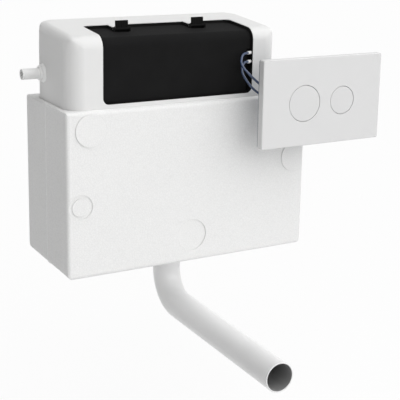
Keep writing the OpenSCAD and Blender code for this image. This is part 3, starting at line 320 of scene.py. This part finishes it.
def seal_rubber():
    """Soft rubber: dull, with a dusty bloom."""
    finish = Finish("seal_rubber", colours().rubber, roughness=0.8, Specular_IOR_Level=0.12)
    bloom = finish.noise(scale=120.0, detail=5.0)
    finish.tint(bloom, low=0.7, high=1.9)
    finish.put("Roughness", 0.7 + 0.2 * bloom)
    finish.bump(bloom, strength=0.3, depth=0.1 * MM)
    return finish


def tube_plastic():
    """Flexible tube: glossy, with faint stretch marks."""
    finish = Finish("tube_plastic", colours().tube, roughness=0.3, Coat_Weight=0.25,
                    Coat_Roughness=0.15)
    marks = finish.noise(scale=260.0, detail=3.0)
    finish.tint(marks, low=0.8, high=1.3)
    finish.put("Roughness", 0.24 + 0.16 * marks)
    finish.bump(marks, strength=0.15, depth=0.05 * MM)
    return finish


def plate_plastic():
    return moulded("plate_plastic", colours().plate, roughness=0.34, grain=1500.0,
                   depth=0.01 * MM, wave=0.06 * MM, Coat_Weight=0.1, Coat_Roughness=0.2)


def button_plastic():
    return moulded("button_plastic", colours().button, roughness=0.3, grain=1500.0,
                   depth=0.01 * MM, wave=0.05 * MM, Coat_Weight=0.15, Coat_Roughness=0.18)


def pipe_plastic():
    """Drawn pipe: smooth, with faint lines along it."""
    finish = Finish("pipe_plastic", colours().pipe, roughness=0.32, Coat_Weight=0.2,
                    Coat_Roughness=0.2)
    lines = finish.noise(520.0, 2.0, finish.stretched((1.0, 0.02, 1.0)))
    cloud = finish.noise(scale=20.0, detail=3.0)
    finish.tint(cloud, low=0.97, high=1.02)
    finish.put("Roughness", 0.27 + 0.1 * cloud)
    finish.bump(lines, strength=0.12, depth=0.06 * MM)
    return finish


def bore_painted_shade():
    """The pipe's inside: the same lines, dull, its colour darkened as painted shade."""
    finish = Finish("bore_painted_shade", colours().bore, roughness=0.5, Specular_IOR_Level=0.3)
    lines = finish.noise(420.0, 2.0, finish.stretched((1.0, 0.02, 1.0)))
    finish.tint(lines, low=0.9, high=1.1)
    finish.bump(lines, strength=0.15, depth=0.06 * MM)
    return finish


def fitting_plastic():
    return moulded("fitting_plastic", colours().fitting, roughness=0.36, grain=800.0)


def valve_plastic():
    return moulded("valve_plastic", colours().valve, roughness=0.4)


def grey_plastic():
    return moulded("grey_plastic", colours().grey, roughness=0.45)


def pin_steel():
    """Drawn steel: bright, with fine lines along X."""
    finish = Finish("pin_steel", colours().steel, roughness=0.25, Metallic=1.0)
    lines = finish.noise(2400.0, 2.0, finish.stretched((0.02, 1.0, 1.0)))
    finish.tint(lines, low=0.85, high=1.1)
    finish.put("Roughness", 0.18 + 0.2 * lines)
    finish.bump(lines, strength=0.2, depth=0.03 * MM)
    return finish


FINISHES = {
    "foam": bead_foam,
    "tank": tank_plastic,
    "cover": cover_plastic,
    "rubber": seal_rubber,
    "tube": tube_plastic,
    "plate": plate_plastic,
    "button": button_plastic,
    "pipe": pipe_plastic,
    "bore": bore_painted_shade,
    "fitting": fitting_plastic,
    "valve": valve_plastic,
    "grey": grey_plastic,
    "steel": pin_steel,
}
made_finishes = {}


def finish_of(name):
    if name not in made_finishes:
        made_finishes[name] = FINISHES[name]().material
    return made_finishes[name]


def placed(name, data):
    """An object that shows its data in the scene."""
    made = bpy.data.objects.new(name, data)
    bpy.context.scene.collection.objects.link(made)
    return made


def placed_mesh(name, shape, material):
    """A finished bmesh as an object with its material."""
    mesh = bpy.data.meshes.new(name)
    shape.to_mesh(mesh)
    shape.free()
    made = placed(name, mesh)
    mesh.materials.append(material)
    return made


# Below these angles in degrees an edge is smooth: on most solids, on the tank's blended corners,
# on turned and drawn pieces, and on the bellows' folds
SOLID_SMOOTH = 35.0
TANK_SMOOTH = 28.0
TURNED_SMOOTH = 40.0
FOLD_SMOOTH = 60.0


def piece(name, shape, finish, smooth_angle):
    """A finished bmesh as a piece: smooth faces, with true edges kept sharp."""
    limit = math.radians(smooth_angle)
    for face in shape.faces:
        face.smooth = True
    for edge in shape.edges:
        edge.smooth = len(edge.link_faces) == 2 and edge.calc_face_angle(0.0) < limit
    return placed_mesh(name, shape, finish_of(finish))


# Above this angle in degrees an edge is rounded: on most pieces, and on the pipe's rim
ROUNDED_EDGE = 50.0
ROUNDED_RIM = 60.0


def soften(made, width, angle=ROUNDED_EDGE):
    """A small round on the true edges, and normals that keep flat faces flat."""
    if width > 0:
        bevel = made.modifiers.new("edge", "BEVEL")
        bevel.width = width
        bevel.segments = 2
        bevel.limit_method = "ANGLE"
        bevel.angle_limit = math.radians(angle)
    weighted = made.modifiers.new("normals", "WEIGHTED_NORMAL")
    weighted.mode = "FACE_AREA"
    weighted.keep_sharp = True


# Points closer than this are one, in metres: in a solid's copy, a turned piece and the pipe
SOLID_MERGE = 0.005 * MM
TURNED_MERGE = 0.002 * MM
PIPE_MERGE = 0.01 * MM
# Triangles of a solid that meet at less than this angle in degrees are one flat face
FLAT_ANGLE = 0.6


def solid_copy(node):
    """The merged copy of a CAD solid's mesh, its flat triangles joined into faces."""
    shape = bmesh.new()
    shape.from_mesh(frame["nodes"][node].data)
    bmesh.ops.remove_doubles(shape, verts=shape.verts[:], dist=SOLID_MERGE)
    bmesh.ops.dissolve_limit(shape, angle_limit=math.radians(FLAT_ANGLE), verts=shape.verts[:],
                             edges=shape.edges[:], use_dissolve_boundaries=False)
    return shape


def body_of_node(node):
    for body, nodes in frame["record"]["behaviour"]["bodies"].items():
        if node in nodes:
            return body
    raise RuntimeError(f"no body holds {node}")


def stand_for(made, node):
    """A piece rides on its node's body and replaces the node."""
    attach(made, body_of_node(node))
    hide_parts(node)


def dress(node, finish, width):
    """Replaces a CAD solid by a smooth copy with softened edges and its finish."""
    made = piece(f"{node}_skin", solid_copy(node), finish, SOLID_SMOOTH)
    stand_for(made, node)
    soften(made, width)


def turned(profile, centre, axis, steps):
    """Spins a profile of (radius, distance along the axis) about the axis through the centre."""
    shape = bmesh.new()
    side = axis.orthogonal() if axis.z else Vector((0, 0, 1)).cross(axis)
    side.normalize()
    verts = [shape.verts.new(centre + side * out + axis * along) for out, along in profile]
    edges = [shape.edges.new(pair) for pair in zip(verts, verts[1:])]
    bmesh.ops.spin(shape, geom=verts + edges, cent=centre, axis=axis, angle=2 * math.pi,
                   steps=steps, use_merge=True, use_normal_flip=False)
    bmesh.ops.remove_doubles(shape, verts=shape.verts[:], dist=TURNED_MERGE)
    bmesh.ops.recalc_face_normals(shape, faces=shape.faces[:])
    return shape


class CISTERN_OT_jacket(Operator):
    """Foam jacket in two halves"""

    bl_idname = "cistern.jacket"
    bl_label = "Foam jacket"

    def execute(self, context):
        for node in ("foam_jacket_front", "foam_jacket_rear"):
            dress(node, "foam", sizes().foam_edge)
        return {"FINISHED"}


# The tank's upper corners in millimetres, as the part's source has them
# Middles of the rounds in plan, each with the side that it faces
TANK_X = ((-176.0, -1), (131.0, 1))
TANK_Y = ((-132.0, -1), (-42.0, 1))
# Height above which a corner is worked
CORNER_Z = 12.0
# Radius of the rounds in plan, and of those along the top's two sides
PLAN_R = 26.0
SIDE_R = 15.0
# The rounds along the top's front and rear: y and z of the middle, and the radius
FOLD, FOLD_R = (-138.0, 17.4676), 20.0
REAR, REAR_R = (-24.0, 39.284), 8.0
# The sloped top: y and z of its rear edge, and its slope in degrees
TOP_REAR = (-16.0, 48.0)
TOP_SLOPE = 4.9
# A higher number keeps the blended corner closer to the three rounds
CORNER_BLEND = 14.0
# A higher number widens the blend from the corner's diagonal towards its borders
BLEND_REACH = 4
# Brings the squared product of the diagonal's three shares, each the root of 1/3, to 1
DIAGONAL = 27
# Steps into which a corner is cut each way
CORNER_STEPS = 18


def leaves(start, way, corner, radius, first, second):
    """How far a ray runs to two planes, given by normals, that a round about a corner joins."""
    off = start - corner
    rates = [(way.dot(normal), off.dot(normal)) for normal in (first, second)]
    reach = min([(radius - gap) / rate for rate, gap in rates if rate > NOTHING] or [1.0])
    a, b, c = way.length_squared, off.dot(way), off.length_squared - radius ** 2
    if a > NOTHING and b * b - a * c >= 0:
        far = (math.sqrt(b * b - a * c) - b) / a
        hit = start + way * far - corner
        turn = first.cross(second)
        if first.cross(hit) * turn >= 0 and hit.cross(second) * turn >= 0:
            return far
    return reach


class CISTERN_OT_tank(Operator):
    """Moulded tank with its access opening and wall bosses"""

    bl_idname = "cistern.tank"
    bl_label = "Tank"

    def execute(self, context):
        shape = solid_copy("tank_body")
        for x, side in TANK_X:
            for y, end in TANK_Y:
                self.corner(shape, Vector((x, y, CORNER_Z)) * MM, side, end)
        made = piece("tank_body_skin", shape, "tank", TANK_SMOOTH)
        stand_for(made, "tank_body")
        soften(made, 0.0)
        return {"FINISHED"}

    def corner(self, shape, centre, side, end):
        """Works an upper corner, where three rounds meet in creases, into one soft round."""
        skin = shape.faces[:]
        for normal in ((side, 0, 0), (0, end, 0), (0, 0, 1)):
            skin = self.cut(shape, skin, centre, normal)
        skin = [face for face in skin if self.beyond(face, centre, side, end)]
        for step in range(1, CORNER_STEPS):
            turn = math.pi / 2 * step / CORNER_STEPS
            rise, run = math.sin(turn), math.cos(turn)
            for normal in ((side * rise, -end * run, 0), (0, end * rise, -run),
                           (side * rise, 0, -run)):
                skin = self.cut(shape, skin, centre, normal)
        for vert in {vert for face in skin for vert in face.verts}:
            way = (vert.co - centre).normalized()
            vert.co = centre + way * self.depth(centre, way, side, end)

    def cut(self, shape, faces, centre, normal):
        """Cuts faces along a plane through the centre; gives them and the new ones."""
        edges = list({edge for face in faces for edge in face.edges})
        verts = list({vert for face in faces for vert in face.verts})
        made = bmesh.ops.bisect_plane(shape, geom=verts + edges + faces, dist=NOTHING,
                                      plane_co=centre, plane_no=normal)
        return [item for item in made["geom"] if isinstance(item, bmesh.types.BMFace)]

    def beyond(self, face, centre, side, end):
        """Whether a face is on the outside, in the eighth of space that the corner points to."""
        out = face.calc_center_median() - centre
        return out.x * side > 0 and out.y * end > 0 and out.z > 0 and out.dot(face.normal) > 0

    def depth(self, centre, way, side, end):
        """How far the skin lies from the corner's centre: three rounds, blended where they meet."""
        slope = math.radians(TOP_SLOPE)
        top = Vector((-math.sin(slope), math.cos(slope)))
        fold, fold_r = (FOLD, FOLD_R) if end < 0 else (REAR, REAR_R)
        lean = Vector((centre.x, (centre.yz - Vector(TOP_REAR) * MM).dot(top)))
        lean_way = Vector((way.x, way.yz.dot(top)))
        side_middle = Vector((centre.x + side * (PLAN_R - SIDE_R) * MM, -SIDE_R * MM))
        out, back, up = Vector((side, 0)), Vector((0, end)), Vector((0, 1))
        reaches = (
            leaves(centre.xy, way.xy, centre.xy, PLAN_R * MM, out, back),
            leaves(centre.yz, way.yz, Vector(fold) * MM, fold_r * MM, Vector((end, 0)), top),
            leaves(lean, lean_way, side_middle, SIDE_R * MM, out, up),
        )
        nearest = min(reaches)
        crowding = sum((nearest / reach) ** CORNER_BLEND for reach in reaches)
        blended = nearest * crowding ** (-1 / CORNER_BLEND)
        inside = max(0.0, way.x * side) * max(0.0, way.y * end) * max(0.0, way.z)
        share = 1 - (1 - DIAGONAL * inside ** 2) ** BLEND_REACH
        return nearest + share * (blended - nearest)


class CISTERN_OT_cover(Operator):
    """Access cover, its seal, and the two catches with their pins"""

    bl_idname = "cistern.cover"
    bl_label = "Access cover"

    def execute(self, context):
        edge = sizes().moulded_edge
        dress("access_cover", "cover", edge)
        dress("cover_seal", "rubber", 0.0)
        for node in ("cover_catch_left", "cover_catch_right"):
            dress(node, "cover", edge)
        dress("catch_pins", "steel", 0.0)
        return {"FINISHED"}


class CISTERN_OT_inlet(Operator):
    """Fill valve from its inlet tube to its float"""

    bl_idname = "cistern.inlet"
    bl_label = "Inlet and fill valve"

    def execute(self, context):
        edge = sizes().moulded_edge
        for node in ("fill_valve_body", "inlet_lock_nut", "fill_valve_cap", "fill_tube"):
            dress(node, "fitting", edge)
        for node in ("fill_lever", "float_rod", "fill_float"):
            dress(node, "grey", edge)
        for node in ("inlet_washer", "fill_diaphragm"):
            dress(node, "rubber", 0.0)
        dress("inlet_strainer", "valve", 0.0)
        dress("lever_pin", "steel", 0.0)
        return {"FINISHED"}


# The air tubes in millimetres, as the part's source has them: the height of the stub that each
# leaves, its route between its straight ends, and its tip in the pump cup
TUBES = {
    "air_tube_full": (-2.0, (
        (89, -161.5, -4.5), (84.5, -165.5, -9.5), (82, -170, -15.5), (83, -175.5, -22),
        (87, -182, -29), (92.5, -187, -36), (99.5, -190.5, -43), (107, -192.5, -50),
        (113, -194, -58), (118, -194.5, -66.5),
    ), (134.0, -194.0, -76.0)),
    "air_tube_half": (-16.0, (
        (89.5, -162, -20), (86, -165, -25.5), (85, -169.5, -32), (87.5, -174.5, -40),
        (92, -179.5, -48.5), (98, -184, -56), (106, -187, -62.5), (115, -187.5, -68.5),
        (125, -186, -73), (136, -184, -76.5), (148, -183.5, -79), (160, -183.5, -80.5),
        (172, -183.5, -81), (184, -183.5, -80.5), (193, -186.5, -79), (200, -191, -77.5),
    ), (211.0, -194.0, -76.0)),
}
# The stubs: x and y of the root, the angle to the tank's front in degrees, and the length
STUB_ROOT = (110.0, -152.5)
STUB_ANGLE = 25.0
STUB_OUT = 10.0
# Points of a tube's straight ends, from the stub's mouth or the tip
STRAIGHT = (0.0, 4.0, 8.0)
# How finely a tube is rounded, and its way between two points
TUBE_ROUND = 5
TUBE_STEPS = 6


class CISTERN_OT_tubes(Operator):
    """Two air tubes and the stubs that they leave from"""

    bl_idname = "cistern.tubes"
    bl_label = "Air tubes"

    def execute(self, context):
        for node in ("tube_stub_upper", "tube_stub_lower"):
            dress(node, "fitting", sizes().stub_edge)
        for node, (stub_z, route, tip) in TUBES.items():
            self.tube(node, stub_z, route, tip)
        return {"FINISHED"}

    def tube(self, node, stub_z, route, tip):
        """One round tube from its stub's mouth to its tip."""
        turn = math.radians(STUB_ANGLE)
        start = [(STUB_ROOT[0] - (STUB_OUT + out) * math.cos(turn),
                  STUB_ROOT[1] - (STUB_OUT + out) * math.sin(turn), stub_z) for out in STRAIGHT]
        end = [(tip[0] - STRAIGHT[1], tip[1], tip[2]), tip]
        points = [Vector(point) * MM for point in (*start, *route, *end)]
        curve = bpy.data.curves.new(f"{node}_bore", "CURVE")
        curve.dimensions = "3D"
        curve.bevel_depth = sizes().tube_diameter / 2
        curve.bevel_resolution = TUBE_ROUND
        curve.resolution_u = TUBE_STEPS
        curve.use_fill_caps = True
        spline = curve.splines.new("BEZIER")
        spline.bezier_points.add(len(points) - 1)
        for knot, point in zip(spline.bezier_points, points):
            knot.co = point
            knot.handle_left_type = knot.handle_right_type = "AUTO"
        made = placed(f"{node}_bore", curve)
        curve.materials.append(finish_of("tube"))
        stand_for(made, node)


# Buttons in millimetres, as the part's source has them: the outer diameter of the pump cup that
# each runs in, the thickness of the disc and the chamfer of its foot, and the skirt: from the
# cup's outside to the skirt's, and its wall
PUMP_CUP_D = {"full": 46.0, "half": 36.0}
BUTTON_THICK = 3.5
BUTTON_CHAMFER = 0.3
SKIRT_INSET = 2.3
SKIRT_WALL = 1.6
# Steps across a button's crowned face and round its rim
CROWN_STEPS = 8
RIM_STEPS = 4


class CISTERN_OT_plate(Operator):
    """Flush plate, its frame, the pump cups and the two buttons"""

    bl_idname = "cistern.plate"
    bl_label = "Flush plate"

    def execute(self, context):
        edge = sizes().moulded_edge
        dress("flush_plate", "plate", edge)
        dress("plate_frame", "grey", edge)
        for node in ("pump_cup_full", "pump_cup_half"):
            dress(node, "fitting", edge)
        for side in ("full", "half"):
            self.button(side)
            bellows(f"pump_bellows_{side}", Vector((0, 1, 0)), PUMP_FOLDS)
        return {"FINISHED"}

    def button(self, side):
        """A crowned disc with a soft rim, and the skirt that runs in the pump cup."""
        node = f"button_{side}"
        low, high = (Vector(corner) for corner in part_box(node))
        middle = (low + high) / 2
        radius = (high.x - low.x) / 2
        rim, crown = sizes().button_rim, sizes().button_crown
        thick, chamfer = BUTTON_THICK * MM, BUTTON_CHAMFER * MM
        skirt_end = high.y - low.y
        skirt_out = (PUMP_CUP_D[side] / 2 - SKIRT_INSET) * MM
        skirt_in = skirt_out - SKIRT_WALL * MM
        face = [(radius * step / CROWN_STEPS, crown * (step / CROWN_STEPS) ** 2)
                for step in range(CROWN_STEPS)]
        turns = [math.pi / 2 * (step / RIM_STEPS - 1) for step in range(RIM_STEPS + 1)]
        lip = [(radius - rim + rim * math.cos(turn), crown + rim + rim * math.sin(turn))
               for turn in turns]
        profile = face + lip + [
            (radius, thick - chamfer), (radius - chamfer, thick), (skirt_out, thick),
            (skirt_out, skirt_end), (skirt_in, skirt_end), (skirt_in, thick), (0.0, thick),
        ]
        shape = turned(profile, Vector((middle.x, low.y, middle.z)), Vector((0, 1, 0)),
                       sizes().round_steps)
        made = piece(f"{node}_cap", shape, "button", TURNED_SMOOTH)
        stand_for(made, node)
        soften(made, 0.0)


# Folds of a pump bellows and of a lift bellows
PUMP_FOLDS = 5
LIFT_FOLDS = 4
# A bellows wider than this radius has deep folds, others shallow ones, in millimetres
WIDE_BELLOWS = 8.0
DEEP_FOLD = 3.0
SHALLOW_FOLD = 1.6
# Steps along a fold and round a bellows
FOLD_STEPS = 8
BELLOWS_STEPS = 64


def bellows(node, way, folds):
    """A rubber bellows with rounded folds, made where its node stands, in place of the node."""
    low, high = (Vector(corner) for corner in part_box(node))
    size = high - low
    run = size.dot(way)
    start = (low + high) / 2 - way * run / 2
    radius = max(size - way * run) / 2
    depth = (DEEP_FOLD if radius > WIDE_BELLOWS * MM else SHALLOW_FOLD) * MM
    profile = [(0.0, 0.0), (radius - depth, 0.0)]
    for fold in range(folds):
        for part in (step / FOLD_STEPS for step in range(1, FOLD_STEPS + 1)):
            bulge = (1 - math.cos(2 * math.pi * part)) / 2
            profile.append((radius - depth + depth * bulge, run / folds * (fold + part)))
    profile.append((0.0, run))
    made = piece(f"{node}_folds", turned(profile, start, way, BELLOWS_STEPS), "rubber",
                 FOLD_SMOOTH)
    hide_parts(node)
    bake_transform(made)


class CISTERN_OT_valve(Operator):
    """Flush valve from its seat to the lifting yoke"""

    bl_idname = "cistern.valve"
    bl_label = "Flush valve"

    def execute(self, context):
        edge = sizes().moulded_edge
        for node in ("outlet_seat", "outlet_back_nut", "overflow_tube", "actuator_cup_full",
                     "actuator_cup_half"):
            dress(node, "fitting", edge)
        for node in ("valve_cage", "valve_top", "lifting_yoke"):
            dress(node, "valve", edge)
        for node in ("full_flush_float", "plunger_full", "half_flush_carrier",
                     "half_flush_float"):
            dress(node, "grey", edge)
        for node in ("outlet_washer", "seat_seal"):
            dress(node, "rubber", 0.0)
        for side, lifted in (("full", "full_flush_plunger"), ("half", "half_flush_lifter")):
            bellows(f"lift_bellows_{side}", Vector((0, 0, 1)), LIFT_FOLDS)
        return {"FINISHED"}


# Steps round the flush pipe, down its upright part, round its bend and along its run
PIPE_ROUND = 72
DROP_STEPS = 3
BEND_STEPS = 20
RUN_STEPS = 12


class CISTERN_OT_pipe(Operator):
    """Flush pipe with its nut and cone seal"""

    bl_idname = "cistern.pipe"
    bl_label = "Flush pipe"

    def execute(self, context):
        dress("flush_pipe_nut", "fitting", sizes().moulded_edge)
        dress("pipe_cone_seal", "rubber", 0.0)
        self.pipe()
        return {"FINISHED"}

    def pipe(self):
        """One skin drawn down the outside, over the rim and back up the bore."""
        low, high = (Vector(corner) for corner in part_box("flush_pipe"))
        radius = (high.x - low.x) / 2
        inner = 1 - sizes().pipe_wall / radius
        bend = sizes().pipe_bend
        top = Vector((0, high.y - radius, high.z))
        mouth = Vector((0, low.y, low.z + radius))
        drop = Vector((0, 0, mouth.z + bend - top.z))
        reach = Vector((0, mouth.y - top.y + bend, 0))
        hub = Vector((0, top.y - bend, mouth.z + bend))
        shape = bmesh.new()
        ring = bmesh.ops.create_circle(shape, cap_ends=False, segments=PIPE_ROUND, radius=radius,
                                       matrix=Matrix.Translation(top))
        edges = list({edge for vert in ring["verts"] for edge in vert.link_edges})
        edges = self.drawn(shape, edges, drop, DROP_STEPS)
        edges = self.bent(shape, edges, hub, -math.pi / 2)
        edges = self.drawn(shape, edges, reach, RUN_STEPS)
        edges = self.stepped(shape, edges, mouth, inner)
        outside = set(shape.faces)
        edges = self.drawn(shape, edges, -reach, RUN_STEPS)
        edges = self.bent(shape, edges, hub, math.pi / 2)
        edges = self.drawn(shape, edges, -drop, DROP_STEPS)
        for face in set(shape.faces) - outside:
            face.material_index = 1
        self.stepped(shape, edges, top, 1 / inner)
        bmesh.ops.remove_doubles(shape, verts=shape.verts[:], dist=PIPE_MERGE)
        bmesh.ops.recalc_face_normals(shape, faces=shape.faces[:])
        made = piece("flush_pipe_drawn", shape, "pipe", TURNED_SMOOTH)
        # The bore's faces take the darker finish: painted shade inside the pipe
        made.data.materials.append(finish_of("bore"))
        stand_for(made, "flush_pipe")
        soften(made, sizes().pipe_rim, ROUNDED_RIM)

    def drawn(self, shape, edges, way, steps):
        """Draws a loop of edges along a straight way; gives the loop at its end."""
        for _ in range(steps):
            new = bmesh.ops.extrude_edge_only(shape, edges=edges)["geom"]
            verts = [item for item in new if isinstance(item, bmesh.types.BMVert)]
            edges = [item for item in new if isinstance(item, bmesh.types.BMEdge)
                     and all(vert in verts for vert in item.verts)]
            bmesh.ops.translate(shape, verts=verts, vec=way / steps)
        return edges

    def bent(self, shape, edges, hub, angle):
        """Draws a loop of edges round the bend's hub; gives the loop at its end."""
        verts = list({vert for edge in edges for vert in edge.verts})
        spun = bmesh.ops.spin(shape, geom=edges + verts, cent=hub, axis=(1, 0, 0), angle=angle,
                              steps=BEND_STEPS, use_merge=False)
        return [item for item in spun["geom_last"] if isinstance(item, bmesh.types.BMEdge)]

    def stepped(self, shape, edges, centre, share):
        """Draws a flat rim from a loop of edges, in or out from the centre; gives its new loop."""
        edges = self.drawn(shape, edges, Vector(), 1)
        verts = list({vert for edge in edges for vert in edge.verts})
        bmesh.ops.scale(shape, verts=verts, vec=(share, share, share),
                        space=Matrix.Translation(-centre))
        return edges


# The photograph's camera: its place in metres, its turn to the right, down and round in degrees,
# its lens and sensor in millimetres, and its shift
CAMERA_PLACE = (-0.7612, -1.5531, 0.2383)
CAMERA_TURN = (29.15, 13.14, 1.04)
CAMERA_LENS = 94.13
CAMERA_SENSOR = 36.0
CAMERA_SHIFT = -0.15
# The floor: half of its side in metres, its squares each way, and its share of plain white where
# direct rays look
FLOOR_HALF = 14.0
FLOOR_SQUARES = 8
FLOOR_GLOW = 0.92
# The key light: the direction that it comes from, and its width in degrees
KEY_FROM = (0.60, -0.75, 1.1)
KEY_WIDTH = 110
# Rays that see the plain white background
DIRECT_RAYS = ("Is Camera Ray", "Is Glossy Ray", "Is Transmission Ray")


class CISTERN_OT_stage(Operator):
    """Floor, lights and the camera at the photograph's angle"""

    bl_idname = "cistern.stage"
    bl_label = "Stage"

    def execute(self, context):
        self.camera()
        self.floor()
        self.key()
        self.room()
        context.scene.view_settings.view_transform = "Standard"
        return {"FINISHED"}

    def camera(self):
        yaw, pitch, roll = (math.radians(angle) for angle in CAMERA_TURN)
        ahead = Vector((math.sin(yaw) * math.cos(pitch), math.cos(yaw) * math.cos(pitch),
                        -math.sin(pitch)))
        right = Vector((math.cos(yaw), -math.sin(yaw), 0.0))
        up = right.cross(ahead)
        tilted_right = right * math.cos(roll) + up * math.sin(roll)
        tilted_up = up * math.cos(roll) - right * math.sin(roll)
        lens = bpy.data.cameras.new("camera")
        lens.sensor_width = CAMERA_SENSOR
        lens.lens = CAMERA_LENS
        lens.shift_y = CAMERA_SHIFT
        made = placed("camera", lens)
        turn = Matrix((tilted_right, tilted_up, -ahead)).transposed().to_4x4()
        made.matrix_world = Matrix.Translation(CAMERA_PLACE) @ turn
        bpy.context.scene.camera = made

    def floor(self):
        """A pale floor that direct rays see nearly white, with the object's shadow left on it."""
        shape = bmesh.new()
        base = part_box("flush_pipe")[0][2] - sizes().floor_drop
        bmesh.ops.create_grid(shape, x_segments=FLOOR_SQUARES, y_segments=FLOOR_SQUARES,
                              size=FLOOR_HALF, matrix=Matrix.Translation((0.0, 0.0, base)))
        finish = Finish("floor", colours().floor, roughness=0.9, Specular_IOR_Level=0.0)
        finish.tint(finish.noise(scale=1.5, detail=2.0), low=0.99, high=1.01)
        seen = sum(finish.node("ShaderNodeLightPath", {}, {}, ray) for ray in DIRECT_RAYS)
        lit = Reading(finish, finish.shader.outputs["BSDF"])
        glow = finish.node("ShaderNodeEmission", {}, {"Color": WHITE, "Strength": 1.0})
        mixed = finish.node("ShaderNodeMixShader", {}, {0: seen * FLOOR_GLOW, 1: lit, 2: glow})
        finish.surface("Material Output", mixed)
        placed_mesh("floor", shape, finish.material)

    def key(self):
        sun = bpy.data.lights.new("key", "SUN")
        sun.energy = sizes().key_strength
        sun.angle = math.radians(KEY_WIDTH)
        made = placed("key", sun)
        made.rotation_euler = Vector(KEY_FROM).to_track_quat("Z", "Y").to_euler()

    def room(self):
        """Even light from all round, and plain white where direct rays look."""
        world = bpy.data.worlds.new("room")
        bpy.context.scene.world = world
        web = Web(world)
        web.tree.nodes.remove(web.tree.nodes["Background"])
        direct, *others = (web.node("ShaderNodeLightPath", {}, {}, ray) for ray in DIRECT_RAYS)
        for ray in others:
            direct = direct.maths("MAXIMUM", direct, ray)
        lit, white = (web.node("ShaderNodeBackground", {}, {"Color": WHITE, "Strength": level})
                      for level in (sizes().room_strength, 1.0))
        mixed = web.node("ShaderNodeMixShader", {}, {0: direct, 1: lit, 2: white})
        web.surface("World Output", mixed)


class CISTERN_PT_pieces(Panel):
    """Lists the pieces that can be built"""

    bl_idname = "CISTERN_PT_pieces"
    bl_label = "Concealed cistern"
    bl_space_type = "VIEW_3D"
    bl_region_type = "UI"
    bl_category = "Cistern"

    def draw(self, context):
        for operator in OPERATORS:
            self.layout.operator(operator.bl_idname)
        for group in (context.scene.cistern_sizes, context.scene.cistern_colours):
            for name in group.__annotations__:
                self.layout.prop(group, name)


OPERATORS = (
    CISTERN_OT_stage, CISTERN_OT_tubes, CISTERN_OT_jacket, CISTERN_OT_tank, CISTERN_OT_cover,
    CISTERN_OT_inlet, CISTERN_OT_plate, CISTERN_OT_valve, CISTERN_OT_pipe,
)
CLASSES = (CisternColours, CisternSizes, *OPERATORS, CISTERN_PT_pieces)


def register():
    for cls in CLASSES:
        bpy.utils.register_class(cls)
    bpy.types.Scene.cistern_colours = PointerProperty(type=CisternColours)
    bpy.types.Scene.cistern_sizes = PointerProperty(type=CisternSizes)


def unregister():
    del bpy.types.Scene.cistern_sizes
    del bpy.types.Scene.cistern_colours
    for cls in reversed(CLASSES):
        bpy.utils.unregister_class(cls)


def main():
    register()
    for operator in OPERATORS:
        group, name = operator.bl_idname.split(".")
        getattr(getattr(bpy.ops, group), name)()


if __name__ == "__main__":
    main()
